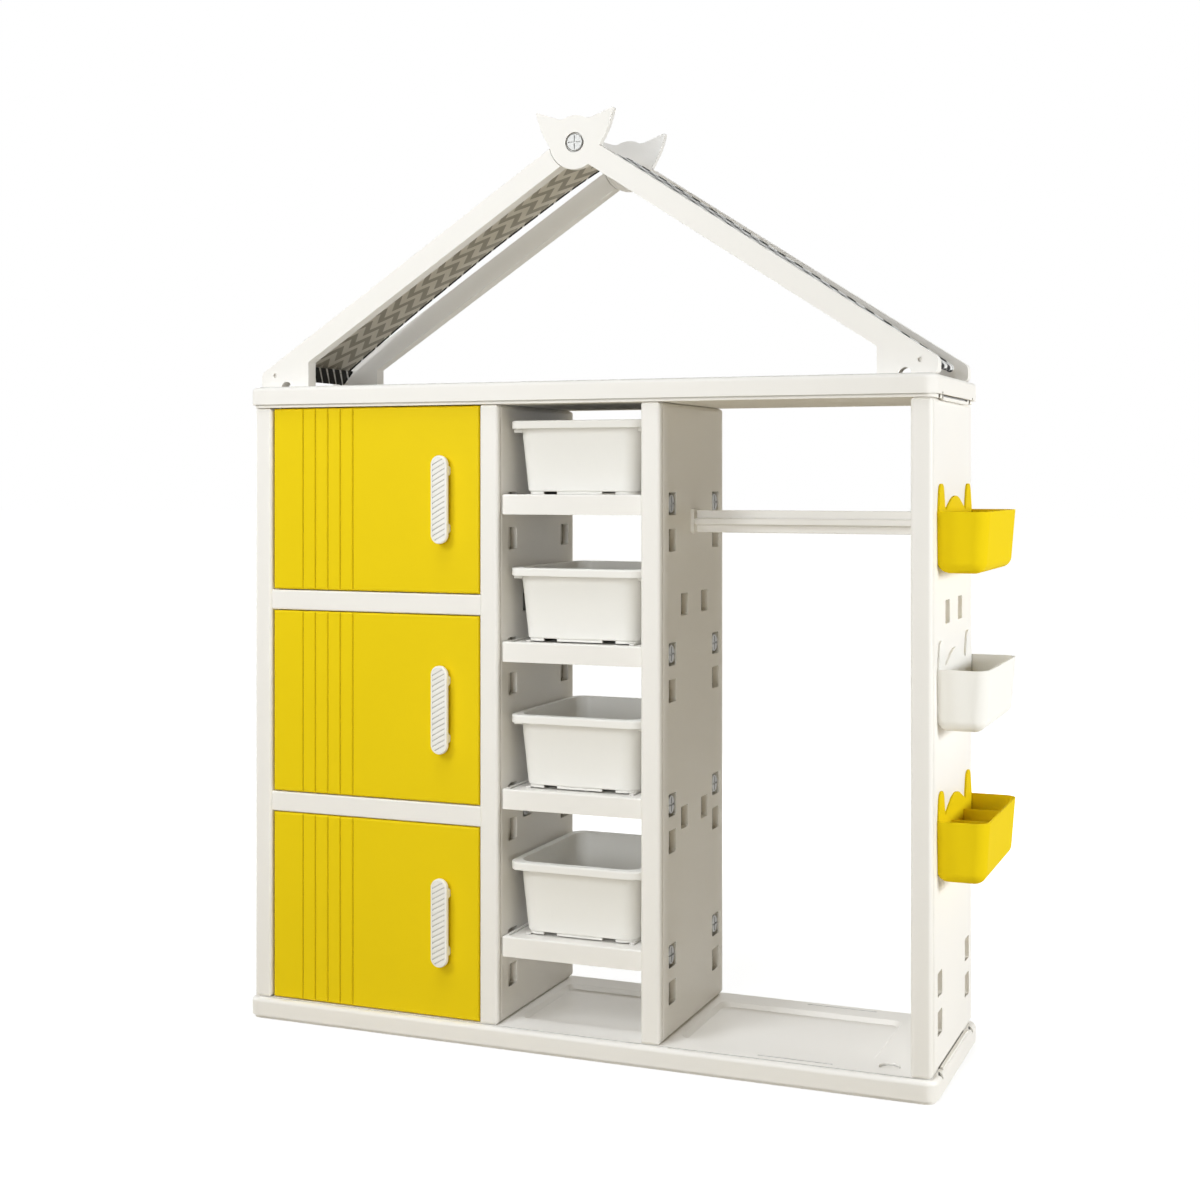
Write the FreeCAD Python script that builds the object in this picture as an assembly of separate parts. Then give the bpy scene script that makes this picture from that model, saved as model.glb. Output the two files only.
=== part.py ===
import FreeCAD, Part
import math
import os

V = FreeCAD.Vector

# Driving dimensions, millimetres. X runs along the front, +Y to the back, +Z up.
# The origin is the centre of the base plate's underside.

# Base plate and top plate
depth = 340.0
plate_out = 8.5
plate_h = 36.5
plate_r = 20.0
plate_edge_r = 7.0
lip_h = 5.5
lip_in = 5.0
field_h = 1.2
field_in = 11.0
field_r = 12.0

# Sunken floors, slits, dimples and end marks of the base plate
floor_drop = 7.0
floor_draft = 6.0
floor_r = 14.0
floor_side = 14.0
floor_rest = 70.0
floor_front = 58.0
floor_back = 50.0
slit_from = 156.0
slit_l = 120.0
slit_w = 3.0
slit_d = 6.0
slit_in = 16.0
dimple_r = 17.0
dimple_d = 4.0
dimple_side = 40.0
dimple_front = 41.0
end_notch_in = 47.0
end_notch_w = 18.0
end_notch_d = 9.0
end_notch_run = 6.0
end_ridge_in = 69.0
end_ridge_t = 5.0
end_ridge_rise = 2.0
end_ridge_sink = 8.0
end_ridge_hang = 3.0
end_recess = 3.0

# Upright panels
panel_t = 33.0
panel_in = 8.0
panel_h = 1022.0
panel_end_r = 8.0
panel_back_r = 7.0
panel_corner_r = 16.0
bay_wide = 400.0
bamid_y = 251.0
nose_d = 14.0
nose_r = 6.0
groove_w = 7.0
groove_d = 4.0
groove_r = 2.5
tongue_t = 14.0
tongue_l = 50.0
tongue_h = 10.0
tongue_off = 80.0

# Windows in the panels
window_w = 35.0
window_h = 37.0
window_d = 12.0
window_r = 3.5
mid_y = 7.9
column_in = 52.0
pair_off = 51.0
level_count = 4
level_low = 130.0
level_high = 163.0
level_drop = 59.0
pair_up = 3.0

# Cupboard shelves and back
rail_h = 34.0
rail_up = (5.5, 3.0)
rail_d = 24.0
rail_r = 3.0
board_t = 16.0
board_r = 2.0
cheek_t = 30.0
cheek_over = 24.0
cheek_r = 4.0
back_t = 6.0
back_in = 10.0
back_tab_in = 10.0
back_tab_h = 5.5

# Doors
door_t = 18.0
door_set = 4.0
door_gap_side = 2.5
door_gap_top = 1.5
door_wall = 4.0
door_edge_r = 4.0
door_back_r = 1.5
door_frame = 8.0
door_rib = 4.0
door_hinge_side = 26.0
door_cell_r = 5.0
door_cell_rows = 3
door_groove_first = 58.5
door_groove_pitch = 24.5
door_groove_count = 5
door_groove_w = 4.0
door_groove_d = 2.0
pin_r = 3.0
pin_in = 9.0
pin_up = 15.0

# Door handles
handle_w = 30.0
handle_l = 147.0
handle_t = 9.0
handle_gap = 9.0
handle_edge_r = 2.5
handle_rim = 3.6
handle_recess = 1.6
handle_side = 68.5
handle_foot_off = 48.0
handle_foot_h = 18.0
handle_foot_in = 1.5
handle_foot_r = 6.0
handle_post_r = 8.0
handle_bite = 10.0

# Bin shelves
shelf_h = 33.0
shelf_rise = 14.5
shelf_front = 13.0
shelf_back = 10.0
shelf_end_gap = 1.5
shelf_corner_r = 4.0
shelf_edge_r = 3.0
tray_d = 2.5
tray_in = 7.0
tray_r = 10.0
cell_count = 3
cell_wall = 8.0
cell_rib = 5.0
cell_side = 28.0
cell_top = 4.0
cell_r = 5.0
runner_off = 92.0
runner_w = 8.0
lug_w = 28.0
lug_low = 1.0
lug_high = 4.0

# Bins
bin_h = 121.5
bin_side_gap = 6.0
bin_front = 11.0
bin_out_back = 4.0
bin_rim_h = 13.0
bin_rim_r = 26.0
bin_rim_edge_r = 3.0
bin_over_side = 11.5
bin_over_end = 11.0
bin_draft_side = 10.0
bin_draft_end = 11.0
bin_top_r = 28.0
bin_bot_r = 24.0
bin_low_r = 3.0
bin_wall = 3.0
bin_grip_h = 19.0
bin_grip_in = 1.5
bin_foot_h = 4.5
bin_foot_in = 3.0
bin_foot_t = 6.0
bin_notch_off = 52.0
bin_notch_w = 24.0

# Hanging rail
hang_drop = 193.5
hang_arm = 37.0
hang_web = 10.0
hang_edge_r = 1.5
hang_root_r = 2.0
socket_t = 6.0
socket_s = 41.0
socket_r = 5.0
socket_floor = 2.0
socket_pin_r = 6.0
socket_pin_l = 10.0

# Wall baskets
basket_front = 36.0
basket_back = 15.0
basket_out = 77.0
basket_h = 94.0
basket_draft = 7.0
basket_end_draft = 5.5
basket_r = 20.0
basket_low_r = 18.0
basket_wall = 3.0
basket_gap = 0.2
basket_lifts = (-9.5, -6.0, 7.5)
ear_h = 42.0
ear_top = 14.5
ear_base = 27.0
ear_r = 16.5
hump_corner_h = 30.0
hump_r = 110.0
valley_r = 3.0
hook_w = 24.0
hook_t = 8.0
hook_slack = 0.4
hook_tip_gap = 1.5
divider_t = 3.0
divider_drop = 14.0
divider_from = (98.0, 199.0)
divider_gap = 0.1

# Roof frames
roof_rise = 390.0
roof_w = 35.6
roof_t = 24.0
roof_end_in = 5.0
roof_end_r = 12.0
roof_toe_r = 7.0
roof_foot_w = 94.0
roof_foot_r = 3.0
roof_in = 36.0
roof_start = 8.0
foot_notch_in = 50.0
foot_notch_r = 10.0
foot_tongue_in = 6.0
foot_tongue_l = 24.0
foot_tongue_t = 12.0
foot_tongue_h = 8.0
head_r = 44.0
head_gap = 1.0
crest_tip_x = 69.5
crest_tip_z = 54.0
crest_tip_r = 2.0
crest_bulge_x = 60.0
crest_bulge_z = 20.0
crest_bulge_r = 150.0
crest_foot_x = 43.4
crest_foot_z = -7.0
crest_valley_x = 24.0
crest_valley_z = 37.5
crest_valley_r = 20.0
crest_crown_z = 44.5
crest_crown_r = 30.0

# Rods and cloth of the roof
eave_in = 27.0
eave_up = 21.1
eave_rod_r = 4.0
eave_rod_in = 6.0
ridge_rod_r = 10.0
cloth_t = 1.2
cloth_side_gap = 8.0
hem_l = 30.0
hem_seam = 2.0

# Screws and bolts
head_edge = 1.2
recess_d = 2.0
bolt_r = 3.0
bolt_head_r = 15.0
bolt_face_in = 1.5
bolt_recess_l = 24.0
bolt_recess_w = 3.0
bolt_bite = 19.0
bolt_rest = 5.0
screw_r = 2.5
screw_l = 40.0
screw_head_r = 6.0
screw_head_h = 4.0
screw_sink = 10.0
screw_sink_r = 6.5
screw_recess_l = 7.0
screw_recess_w = 1.3
handle_screw_r = 2.0
handle_screw_head_r = 4.6
handle_screw_head_h = 3.0
handle_screw_sink = 1.0
handle_screw_recess_l = 5.4
handle_screw_recess_w = 1.0
ridge_screw_r = 5.0
ridge_screw_head_r = 14.0
ridge_screw_head_h = 5.0
ridge_screw_ring = 2.5
ridge_screw_recess_l = 23.0
ridge_screw_recess_w = 1.8
ridge_screw_bite = 20.0
ridge_screw_rest = 4.0

# Clearances, the room at the end of a pocket, and the overlap that carries a cut through a face
bore_fit = 0.05
stand_fit = 0.1
pocket_fit = 0.2
soft_fit = 0.3
pocket_end = 0.5
over = 1.0

# Derived positions
panel_d = depth - 2 * panel_in
y_front = -panel_d / 2.0
y_back = panel_d / 2.0
x_part = bamid_y / 2.0 + panel_t / 2.0
x_side = x_part + panel_t + bay_wide
panel_xs = (-x_side, -x_part, x_part, x_side)
wall_x = x_side + panel_t / 2.0
width = 2 * (wall_x + plate_out)
z_floor = plate_h
z_top = plate_h + panel_h
z_roof = z_top + plate_h
column_off = panel_d / 2.0 - column_in
columns = (mid_y - column_off, mid_y + column_off)
pairs = (mid_y - pair_off, mid_y + pair_off)
tongue_ys = (mid_y - tongue_off, mid_y + tongue_off)
level_pitch = (panel_h - level_low - level_high) / (level_count - 1)
levels = [z_floor + level_low + level_pitch * k for k in range(level_count)]
door_bay_h = (panel_h - 2 * rail_h) / 3.0
pair_levels = [z_floor + (door_bay_h + rail_h) * (k + 1) - rail_h / 2.0 + rail_up[k] for k in range(2)]
cup_left = -x_side + panel_t / 2.0
cup_right = -x_part - panel_t / 2.0
hang_left = x_part + panel_t / 2.0
hang_right = x_side - panel_t / 2.0
back_y = y_back - back_in - back_t
door_front = y_front + door_set
hinge_x = cup_left + door_gap_side + door_t / 2.0
hinge_y = door_front + door_t / 2.0
handle_x = cup_right - handle_side
rails = [(z - rail_h / 2.0, z + rail_h / 2.0) for z in pair_levels]
door_bays = [(z_floor, rails[0][0]), (rails[0][1], rails[1][0]), (rails[1][1], z_top)]
bin_y0 = y_front + shelf_front + bin_front
bin_y1 = y_back - shelf_back + bin_out_back
bin_mid_y = (bin_y0 + bin_y1) / 2.0
bin_rim_w = bamid_y - 2 * bin_side_gap
bin_rim_l = bin_y1 - bin_y0
bin_top_w = bin_rim_w - 2 * bin_over_side
bin_top_l = bin_rim_l - 2 * bin_over_end
bin_bot_w = bin_top_w - 2 * bin_draft_side
bin_bot_l = bin_top_l - 2 * bin_draft_end
basket_x = wall_x + basket_gap
basket_y0 = y_front + basket_front
basket_y1 = y_back - basket_back
basket_rims = [z + up for z, up in zip(reversed(levels), basket_lifts)]
hang_z = z_top - hang_drop
roof_y = depth / 2.0 - roof_in
rod_y = roof_y - roof_t
roof_end = width / 2.0 - roof_end_in
roof_foot_in = roof_end - roof_foot_w
foot_notch_x = roof_end - foot_notch_in
eave_x = roof_end - eave_in
eave_z = z_roof + eave_up
roof_ridge_z = z_roof + roof_rise
tan_s = (roof_ridge_z - eave_z) / eave_x
cos_s = 1.0 / math.hypot(1.0, tan_s)
sin_s = tan_s * cos_s


def on_xy(u, v, w):
    return V(u, v, w)


def on_xz(u, v, w):
    return V(u, w, v)


def on_yz(u, v, w):
    return V(w, u, v)


# A closed wire through the points (u, v, corner radius), drawn on a plane at height w
def outline(points, put, w):
    count = len(points)
    starts = []
    ends = []
    mids = []
    for i in range(count):
        u, v, r = points[i]
        pu, pv, _ = points[i - 1]
        nu, nv, _ = points[(i + 1) % count]
        if r <= 0:
            starts.append((u, v))
            ends.append((u, v))
            mids.append(None)
            continue
        la = math.hypot(pu - u, pv - v)
        lb = math.hypot(nu - u, nv - v)
        a = ((pu - u) / la, (pv - v) / la)
        b = ((nu - u) / lb, (nv - v) / lb)
        half = math.acos(max(-1.0, min(1.0, a[0] * b[0] + a[1] * b[1]))) / 2.0
        t = r / math.tan(half)
        s = (a[0] + b[0], a[1] + b[1])
        ls = math.hypot(s[0], s[1])
        k = r / math.sin(half) - r
        starts.append((u + a[0] * t, v + a[1] * t))
        ends.append((u + b[0] * t, v + b[1] * t))
        mids.append((u + s[0] / ls * k, v + s[1] / ls * k))
    edges = []
    for i in range(count):
        j = (i + 1) % count
        if mids[i] is not None:
            edges.append(Part.Arc(put(*starts[i], w), put(*mids[i], w), put(*ends[i], w)).toShape())
        if math.hypot(ends[i][0] - starts[j][0], ends[i][1] - starts[j][1]) > 1e-6:
            edges.append(Part.LineSegment(put(*ends[i], w), put(*starts[j], w)).toShape())
    return Part.Wire(edges)


# A prism on an outline, from w0 to w1 along the plane's normal
def prism(points, put, w0, w1):
    face = Part.Face(outline(points, put, min(w0, w1)))
    return face.extrude(put(0, 0, max(w0, w1)) - put(0, 0, min(w0, w1)))


def rect(u0, u1, v0, v1, r=0.0):
    return [(u0, v0, r), (u1, v0, r), (u1, v1, r), (u0, v1, r)]


# A box between two values on each axis, in either order
def block(x0, x1, y0, y1, z0, z1):
    return Part.makeBox(abs(x1 - x0), abs(y1 - y0), abs(z1 - z0), V(min(x0, x1), min(y0, y1), min(z0, z1)))


def rod(start, axis, r, length):
    return Part.makeCylinder(r, length, start, axis)


# A tapered block with rounded upright edges, centred on X 0 and the given Y
def tapered(w0, l0, r0, w1, l1, r1, cy, z0, z1):
    low = outline(rect(-w0 / 2, w0 / 2, cy - l0 / 2, cy + l0 / 2, r0), on_xy, z0)
    high = outline(rect(-w1 / 2, w1 / 2, cy - l1 / 2, cy + l1 / 2, r1), on_xy, z1)
    return Part.makeLoft([low, high], True, True)


def cut_all(shape, tools):
    return shape.cut(tools) if tools else shape


def fuse_all(shapes):
    return shapes[0].multiFuse(shapes[1:]).removeSplitter()


def edges_at(shape, z, tol=1e-3):
    found = []
    for e in shape.Edges:
        box = e.BoundBox
        if abs(box.ZMin - z) < tol and abs(box.ZMax - z) < tol:
            found.append(e)
    return found


def save(name, shape):
    if isinstance(shape, list):
        shape = Part.makeCompound(shape)
    elif len(shape.Solids) == 1:
        shape = shape.Solids[0]
    shape.exportStep("parts/%s.step" % name)
    print(name, len(shape.Solids), shape.isValid(), round(shape.Volume / 1000.0, 1))


# Base and top plates share one form: stepped lip below, rounded edge above, raised field
def plate(z):
    hw = width / 2.0
    hd = depth / 2.0
    z_edge = z + plate_h - field_h
    lip = prism(rect(-hw + lip_in, hw - lip_in, -hd + lip_in, hd - lip_in, plate_r - lip_in), on_xy, z, z + lip_h)
    face = prism(rect(-hw, hw, -hd, hd, plate_r), on_xy, z + lip_h, z_edge)
    face = face.makeFillet(plate_edge_r, edges_at(face, z_edge))
    field = prism(rect(-hw + field_in, hw - field_in, -hd + field_in, hd - field_in, field_r), on_xy,
                  z_edge, z + plate_h)
    return fuse_all([lip, face, field])


# A panel's tongue, or its pocket when grown by the clearance g
def tongue_block(x, y, z0, z1, g=0.0):
    return block(x - tongue_t / 2 - g, x + tongue_t / 2 + g, y - tongue_l / 2 - g, y + tongue_l / 2 + g, z0, z1)


# Pockets and screw bores in a plate. The panels stand at z_joint, and up is +1 for the base plate
def joint_tools(z_joint, up):
    tools = []
    z_far = z_joint - up * plate_h
    for x in panel_xs:
        for y in tongue_ys:
            tools.append(tongue_block(x, y, z_joint + up * over, z_joint - up * (tongue_h + pocket_end), pocket_fit))
            tools.append(rod(V(x, y, z_far - up * over), V(0, 0, up), screw_sink_r, screw_sink + screw_head_h + over))
            tools.append(rod(V(x, y, z_far), V(0, 0, up), screw_r + bore_fit, plate_h + over))
    return tools


# The ridge and the two wedge notches at each end of a plate
def end_ridges(z0, z1):
    half = depth / 2.0 - end_ridge_in
    return [block(s * wall_x, s * (wall_x + end_ridge_t), -half, half, z0, z1) for s in (-1, 1)]


def end_notches(z0, z1):
    made = []
    for s in (-1, 1):
        x0 = s * (wall_x + pocket_end)
        x1 = s * (width / 2.0 + end_notch_run)
        for t in (-1, 1):
            y = t * (depth / 2.0 - end_notch_in)
            made.append(prism([(x0, y - end_notch_w / 2, 0), (x1, y, 0), (x0, y + end_notch_w / 2, 0)], on_xy, z0, z1))
    return made


# Groove for the back of the cupboard, from the plate's face at z towards dz
def back_groove(z, dz):
    return block(cup_left + back_tab_in, cup_right - back_tab_in, back_y, back_y + back_t, z - dz * over,
                 z + dz * (back_tab_h + pocket_end))


# Bore for a hinge pin, from the face at z towards dz
def pin_bore(z, dz, reach):
    return rod(V(hinge_x, hinge_y, z - dz * over), V(0, 0, dz), pin_r + bore_fit, reach + 2 * over)


def base_plate():
    tools = joint_tools(z_floor, 1)
    # Sunken floor of each bay, with sloped walls
    wide_bays = (cup_left, hang_left)
    floors = [(left + floor_side, left + bay_wide - floor_rest) for left in wide_bays]
    floors.append((-bamid_y / 2 + floor_side, bamid_y / 2 - floor_side))
    y0 = y_front + floor_front
    y1 = y_back - floor_back
    for x0, x1 in floors:
        g = floor_draft
        high = outline(rect(x0, x1, y0, y1, floor_r), on_xy, z_floor)
        low = outline(rect(x0 + g, x1 - g, y0 + g, y1 - g, floor_r), on_xy, z_floor - floor_drop)
        tools.append(Part.makeLoft([low, high], True, True))
    # Slits and a round dimple in each wide bay
    for left in wide_bays:
        slits = [y_front + slit_in]
        if left == hang_left:
            slits.append(y_back - slit_in)
        for y in slits:
            tools.append(block(left + slit_from, left + slit_from + slit_l, y, y + slit_w, z_floor - slit_d, z_floor + over))
        tools.append(rod(V(left + bay_wide - dimple_side, y_front + dimple_front, z_floor - dimple_d), V(0, 0, 1),
                         dimple_r, dimple_d + over))
    tools.append(back_groove(z_floor, -1))
    tools.append(pin_bore(z_floor, -1, pin_in))
    tools += end_notches(z_floor - end_notch_d, z_floor + over)
    body = cut_all(plate(0.0), tools)
    return fuse_all([body] + end_ridges(z_floor - end_ridge_sink, z_floor + end_ridge_rise))


def top_plate():
    tools = joint_tools(z_top, -1)
    tools.append(back_groove(z_top, 1))
    tools.append(pin_bore(z_top, 1, pin_in))
    tools += end_notches(z_top - over, z_top + end_notch_d)
    half = depth / 2.0 - end_ridge_in + end_recess
    for s in (-1, 1):
        tools.append(block(s * wall_x, s * (width / 2.0 + over), -half, half, z_top - over, z_top + lip_h))
        for y in (-roof_y, rod_y):
            tools.append(foot_tongue(s, y, pocket_fit))
    body = cut_all(plate(z_top), tools)
    return fuse_all([body] + end_ridges(z_top - end_ridge_hang, z_top + end_ridge_rise))


# A window in one face of a panel. A hooked one has a ramp below that falls inwards, for a basket's hook
def window(face_x, sign, y, z, hooked):
    half_w = window_w / 2.0
    low = z - window_h / 2.0
    inner = face_x - sign * window_d
    made = [prism(rect(y - half_w, y + half_w, low, low + window_h, window_r), on_yz, inner, face_x + sign * over)]
    if hooked:
        ramp = [(face_x, low, 0), (inner, low - window_d, 0), (inner, low + window_r, 0), (face_x, low + window_r, 0)]
        made.append(prism(ramp, on_xz, y - half_w + window_r, y + half_w - window_r))
    return made


# One upright panel, with windows in both faces and the bores (y, z, radius) that this place needs
def panel(x, bores):
    h = panel_t / 2.0
    g = y_front + nose_d
    right = [(h, y_front, nose_r), (h, g - groove_w / 2, groove_r), (h - groove_d, g, 0), (h, g + groove_w / 2, groove_r),
             (h, y_back, panel_back_r)]
    left = [(-u, v, r) for u, v, r in reversed(right)]
    plan = [(x + u, v, r) for u, v, r in right + left]
    side = [(y_front, z_floor, nose_r), (y_back, z_floor, panel_corner_r), (y_back, z_top, panel_corner_r),
            (y_front, z_top, nose_r)]
    front = rect(x - h, x + h, z_floor, z_top, panel_end_r)
    body = prism(plan, on_xy, z_floor, z_top)
    body = body.common(prism(side, on_yz, x - h - over, x + h + over))
    body = body.common(prism(front, on_xz, y_front - over, y_back + over))
    tongues = []
    for y in tongue_ys:
        tongues.append(tongue_block(x, y, z_floor - tongue_h, z_floor + panel_end_r))
        tongues.append(tongue_block(x, y, z_top - panel_end_r, z_top + tongue_h))
    body = fuse_all([body] + tongues)
    tools = []
    for s in (-1, 1):
        for y in columns:
            for z in levels:
                tools += window(x + s * h, s, y, z, True)
                tools += window(x + s * h, s, y, z - level_drop, True)
        for y in pairs:
            for z in pair_levels:
                tools += window(x + s * h, s, y, z + pair_up, False)
    for y in tongue_ys:
        tools.append(rod(V(x, y, z_floor - tongue_h - over), V(0, 0, 1), screw_r + bore_fit, screw_l))
        tools.append(rod(V(x, y, z_top + tongue_h + over), V(0, 0, -1), screw_r + bore_fit, screw_l))
    for y, z, r in bores:
        tools.append(rod(V(x - h - over, y, z), V(1, 0, 0), r + bore_fit, panel_t + 2 * over))
    return cut_all(body, tools)


# A flat-headed screw with a cross recess. The axis points from head to tip, and at is the head's face
def screw(at, axis, shank_r, length, big_r, big_h, recess_l, recess_w):
    profile = [V(0, 0, 0), V(big_r - head_edge, 0, 0), V(big_r, 0, head_edge), V(big_r, 0, big_h),
               V(shank_r, 0, big_h), V(shank_r, 0, big_h + length), V(0, 0, big_h + length), V(0, 0, 0)]
    body = Part.Face(Part.makePolygon(profile)).revolve(V(0, 0, 0), V(0, 0, 1), 360)
    a = recess_l / 2.0
    b = recess_w / 2.0
    body = cut_all(body, [block(-a, a, -b, b, -over, recess_d), block(-b, b, -a, a, -over, recess_d)])
    body.Placement = FreeCAD.Placement(at, FreeCAD.Rotation(V(0, 0, 1), axis))
    return body


def bolt_places(z_list, ys):
    return [(y, z) for z in z_list for y in ys]


bin_bolt_places = bolt_places(levels, columns)
cup_bolt_places = bolt_places(pair_levels, pairs)


# Bolts through a panel at x. Their heads fill the windows on the side of the sign
def bolts(x, sign, places):
    made = []
    for y, z in places:
        at = V(x + sign * (panel_t / 2.0 - bolt_face_in), y, z)
        made.append(screw(at, V(-sign, 0, 0), bolt_r, panel_t - window_d + bolt_bite, bolt_head_r,
                          window_d - bolt_face_in, bolt_recess_l, bolt_recess_w))
    return made


# Lugs that seat in the windows at one end of a shelf, past a gap at the panel's face
def lugs(face_x, sign, gap, ys, z0, z1):
    x0 = face_x - sign * (gap + over)
    x1 = face_x + sign * (window_d - soft_fit)
    return [block(x0, x1, y - lug_w / 2, y + lug_w / 2, z0, z1) for y in ys]


# Bores for the bolts in one end of a shelf
def bolt_bores(face_x, sign, ys, z):
    reach = window_d + bolt_bite + bolt_rest
    return [rod(V(face_x + sign * window_d, y, z), V(-sign, 0, 0), bolt_r + bore_fit, reach) for y in ys]


def bin_shelf(level):
    z1 = level + shelf_rise
    z0 = z1 - shelf_h
    face = bamid_y / 2.0
    hx = face - shelf_end_gap
    y0 = y_front + shelf_front
    y1 = y_back - shelf_back
    body = prism(rect(-hx, hx, y0, y1, shelf_corner_r), on_xy, z0, z1)
    body = body.makeFillet(shelf_edge_r, edges_at(body, z1))
    tools = [prism(rect(-hx + tray_in, hx - tray_in, y0 + tray_in, y1 - tray_in, tray_r), on_xy, z1 - tray_d, z1 + over)]
    # Hollow underside in cells
    cell = (y1 - y0 - 2 * cell_wall - (cell_count - 1) * cell_rib) / cell_count
    for k in range(cell_count):
        ya = y0 + cell_wall + k * (cell + cell_rib)
        tools.append(prism(rect(-hx + cell_side, hx - cell_side, ya, ya + cell, cell_r), on_xy, z0 - over,
                           z1 - tray_d - cell_top))
    body = cut_all(body, tools)
    # Two runners under the bin's foot carry it level with the rim
    runners = []
    for s in (-1, 1):
        x = s * runner_off
        runners.append(block(x - runner_w / 2, x + runner_w / 2, bin_mid_y - bin_bot_l / 2 + bin_foot_in, y1 - tray_in + over,
                             z1 - tray_d - over, z1))
    ends = []
    bores = []
    for s in (-1, 1):
        ends += lugs(s * face, s, shelf_end_gap, columns, z0 + lug_low, z1 - lug_high)
        bores += bolt_bores(s * face, s, columns, level)
    return cut_all(fuse_all([body] + runners + ends), bores)


def cupboard_shelf(z0, z1):
    front = door_front
    back = back_y - pocket_fit
    profile = [(front, z0, rail_r), (front + rail_d, z0, board_r), (front + rail_d, z1 - board_t, 0),
               (back, z1 - board_t, board_r), (back, z1, board_r), (front, z1, rail_r)]
    body = prism(profile, on_yz, cup_left, cup_right)
    # Cheeks under both ends, which take the lugs and the bolts
    cheek = rect(pairs[0] - cheek_over, pairs[1] + cheek_over, z0, z1 - over, cheek_r)
    cheeks = [prism(cheek, on_yz, cup_left, cup_left + cheek_t), prism(cheek, on_yz, cup_right - cheek_t, cup_right)]
    ends = []
    tools = []
    for face, s in ((cup_left, -1), (cup_right, 1)):
        ends += lugs(face, s, 0.0, pairs, z0 + board_r, z1 - board_r)
        tools += bolt_bores(face, s, pairs, (z0 + z1) / 2.0)
    body = fuse_all([body] + cheeks + ends)
    tools.append(pin_bore(z0, 1, pin_in))
    tools.append(pin_bore(z1, -1, pin_in))
    return cut_all(body, tools)


def cupboard_back():
    body = block(cup_left + soft_fit, cup_right - soft_fit, back_y, back_y + back_t, z_floor, z_top)
    x0 = cup_left + back_tab_in + pocket_end
    x1 = cup_right - back_tab_in - pocket_end
    tabs = [block(x0, x1, back_y, back_y + back_t, z_floor - back_tab_h, z_floor + over),
            block(x0, x1, back_y, back_y + back_t, z_top - over, z_top + back_tab_h)]
    return fuse_all([body] + tabs)


def handle_spots(z_low, z_high):
    z = (z_low + z_high) / 2.0
    return [z - handle_foot_off, z + handle_foot_off]


def door(z_low, z_high):
    z0 = z_low + door_gap_top
    z1 = z_high - door_gap_top
    x0 = hinge_x - door_t / 2.0
    x1 = cup_right - door_gap_side
    y0 = door_front
    y1 = door_front + door_t
    plan = [(x0, y0, door_edge_r), (x1, y0, door_edge_r), (x1, y1, door_back_r), (x0, y1, door_t / 2.0)]
    side = [(y0, z0, door_edge_r), (y1, z0, door_back_r), (y1, z1, door_back_r), (y0, z1, door_edge_r)]
    body = prism(plan, on_xy, z0, z1).common(prism(side, on_yz, x0 - over, x1 + over))
    tools = []
    for k in range(door_groove_count):
        x = x0 + door_groove_first + door_groove_pitch * k
        w = door_groove_w / 2.0 * (door_groove_d + over) / door_groove_d
        tools.append(prism([(x - w, y0 - over, 0), (x + w, y0 - over, 0), (x, y0 + door_groove_d, 0)], on_xy,
                           z0 - over, z1 + over))
    # Hollow back: two columns of three cells, with ribs left between them
    x_rib = (x0 + x1) / 2.0
    spans = ((x0 + door_hinge_side, x_rib - door_rib / 2), (x_rib + door_rib / 2, x1 - door_frame))
    rows = door_cell_rows
    cell_h = (z1 - z0 - 2 * door_frame - (rows - 1) * door_rib) / rows
    for k in range(rows):
        za = z0 + door_frame + k * (cell_h + door_rib)
        for xa, xb in spans:
            tools.append(prism(rect(xa, xb, za, za + cell_h, door_cell_r), on_xz, y0 + door_wall, y1 + over))
    body = cut_all(body, tools)
    spots = handle_spots(z_low, z_high)
    posts = [rod(V(handle_x, y0 + door_wall - over, z), V(0, 1, 0), handle_post_r, door_t - door_wall + over) for z in spots]
    body = fuse_all([body] + posts)
    sink = handle_screw_sink + handle_screw_head_h
    tools = [pin_bore(z0, 1, pin_up), pin_bore(z1, -1, pin_up)]
    for z in spots:
        tools.append(rod(V(handle_x, y0 - over, z), V(0, 1, 0), handle_screw_r + bore_fit, door_t + 2 * over))
        tools.append(rod(V(handle_x, y1 - sink, z), V(0, 1, 0), handle_screw_head_r + pocket_fit, sink + over))
    return cut_all(body, tools)


# A bar with round ends and a sunk grip face, on two feet
def handle(z_low, z_high):
    z = (z_low + z_high) / 2.0
    hw = handle_w / 2.0
    hl = handle_l / 2.0
    y1 = door_front - handle_gap
    y0 = y1 - handle_t
    bar = prism(rect(handle_x - hw, handle_x + hw, z - hl, z + hl, hw), on_xz, y0, y1)
    rims = [e for e in bar.Edges if e.BoundBox.YLength < 1e-4]
    bar = bar.makeFillet(handle_edge_r, rims)
    g = handle_rim
    bar = bar.cut(prism(rect(handle_x - hw + g, handle_x + hw - g, z - hl + g, z + hl - g, hw - g), on_xz,
                        y0 - over, y0 + handle_recess))
    spots = handle_spots(z_low, z_high)
    fw = hw - handle_foot_in
    fh = handle_foot_h / 2.0
    feet = [prism(rect(handle_x - fw, handle_x + fw, s - fh, s + fh, handle_foot_r), on_xz, y1 - over, door_front)
            for s in spots]
    bores = [rod(V(handle_x, door_front + over, s), V(0, -1, 0), handle_screw_r + bore_fit, handle_bite + 2 * over)
             for s in spots]
    return cut_all(fuse_all([bar] + feet), bores)


def handle_screws(z_low, z_high):
    y = door_front + door_t - handle_screw_sink
    length = door_t - handle_screw_sink - handle_screw_head_h + handle_bite
    return [screw(V(handle_x, y, z), V(0, -1, 0), handle_screw_r, length, handle_screw_head_r, handle_screw_head_h,
                  handle_screw_recess_l, handle_screw_recess_w) for z in handle_spots(z_low, z_high)]


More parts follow.
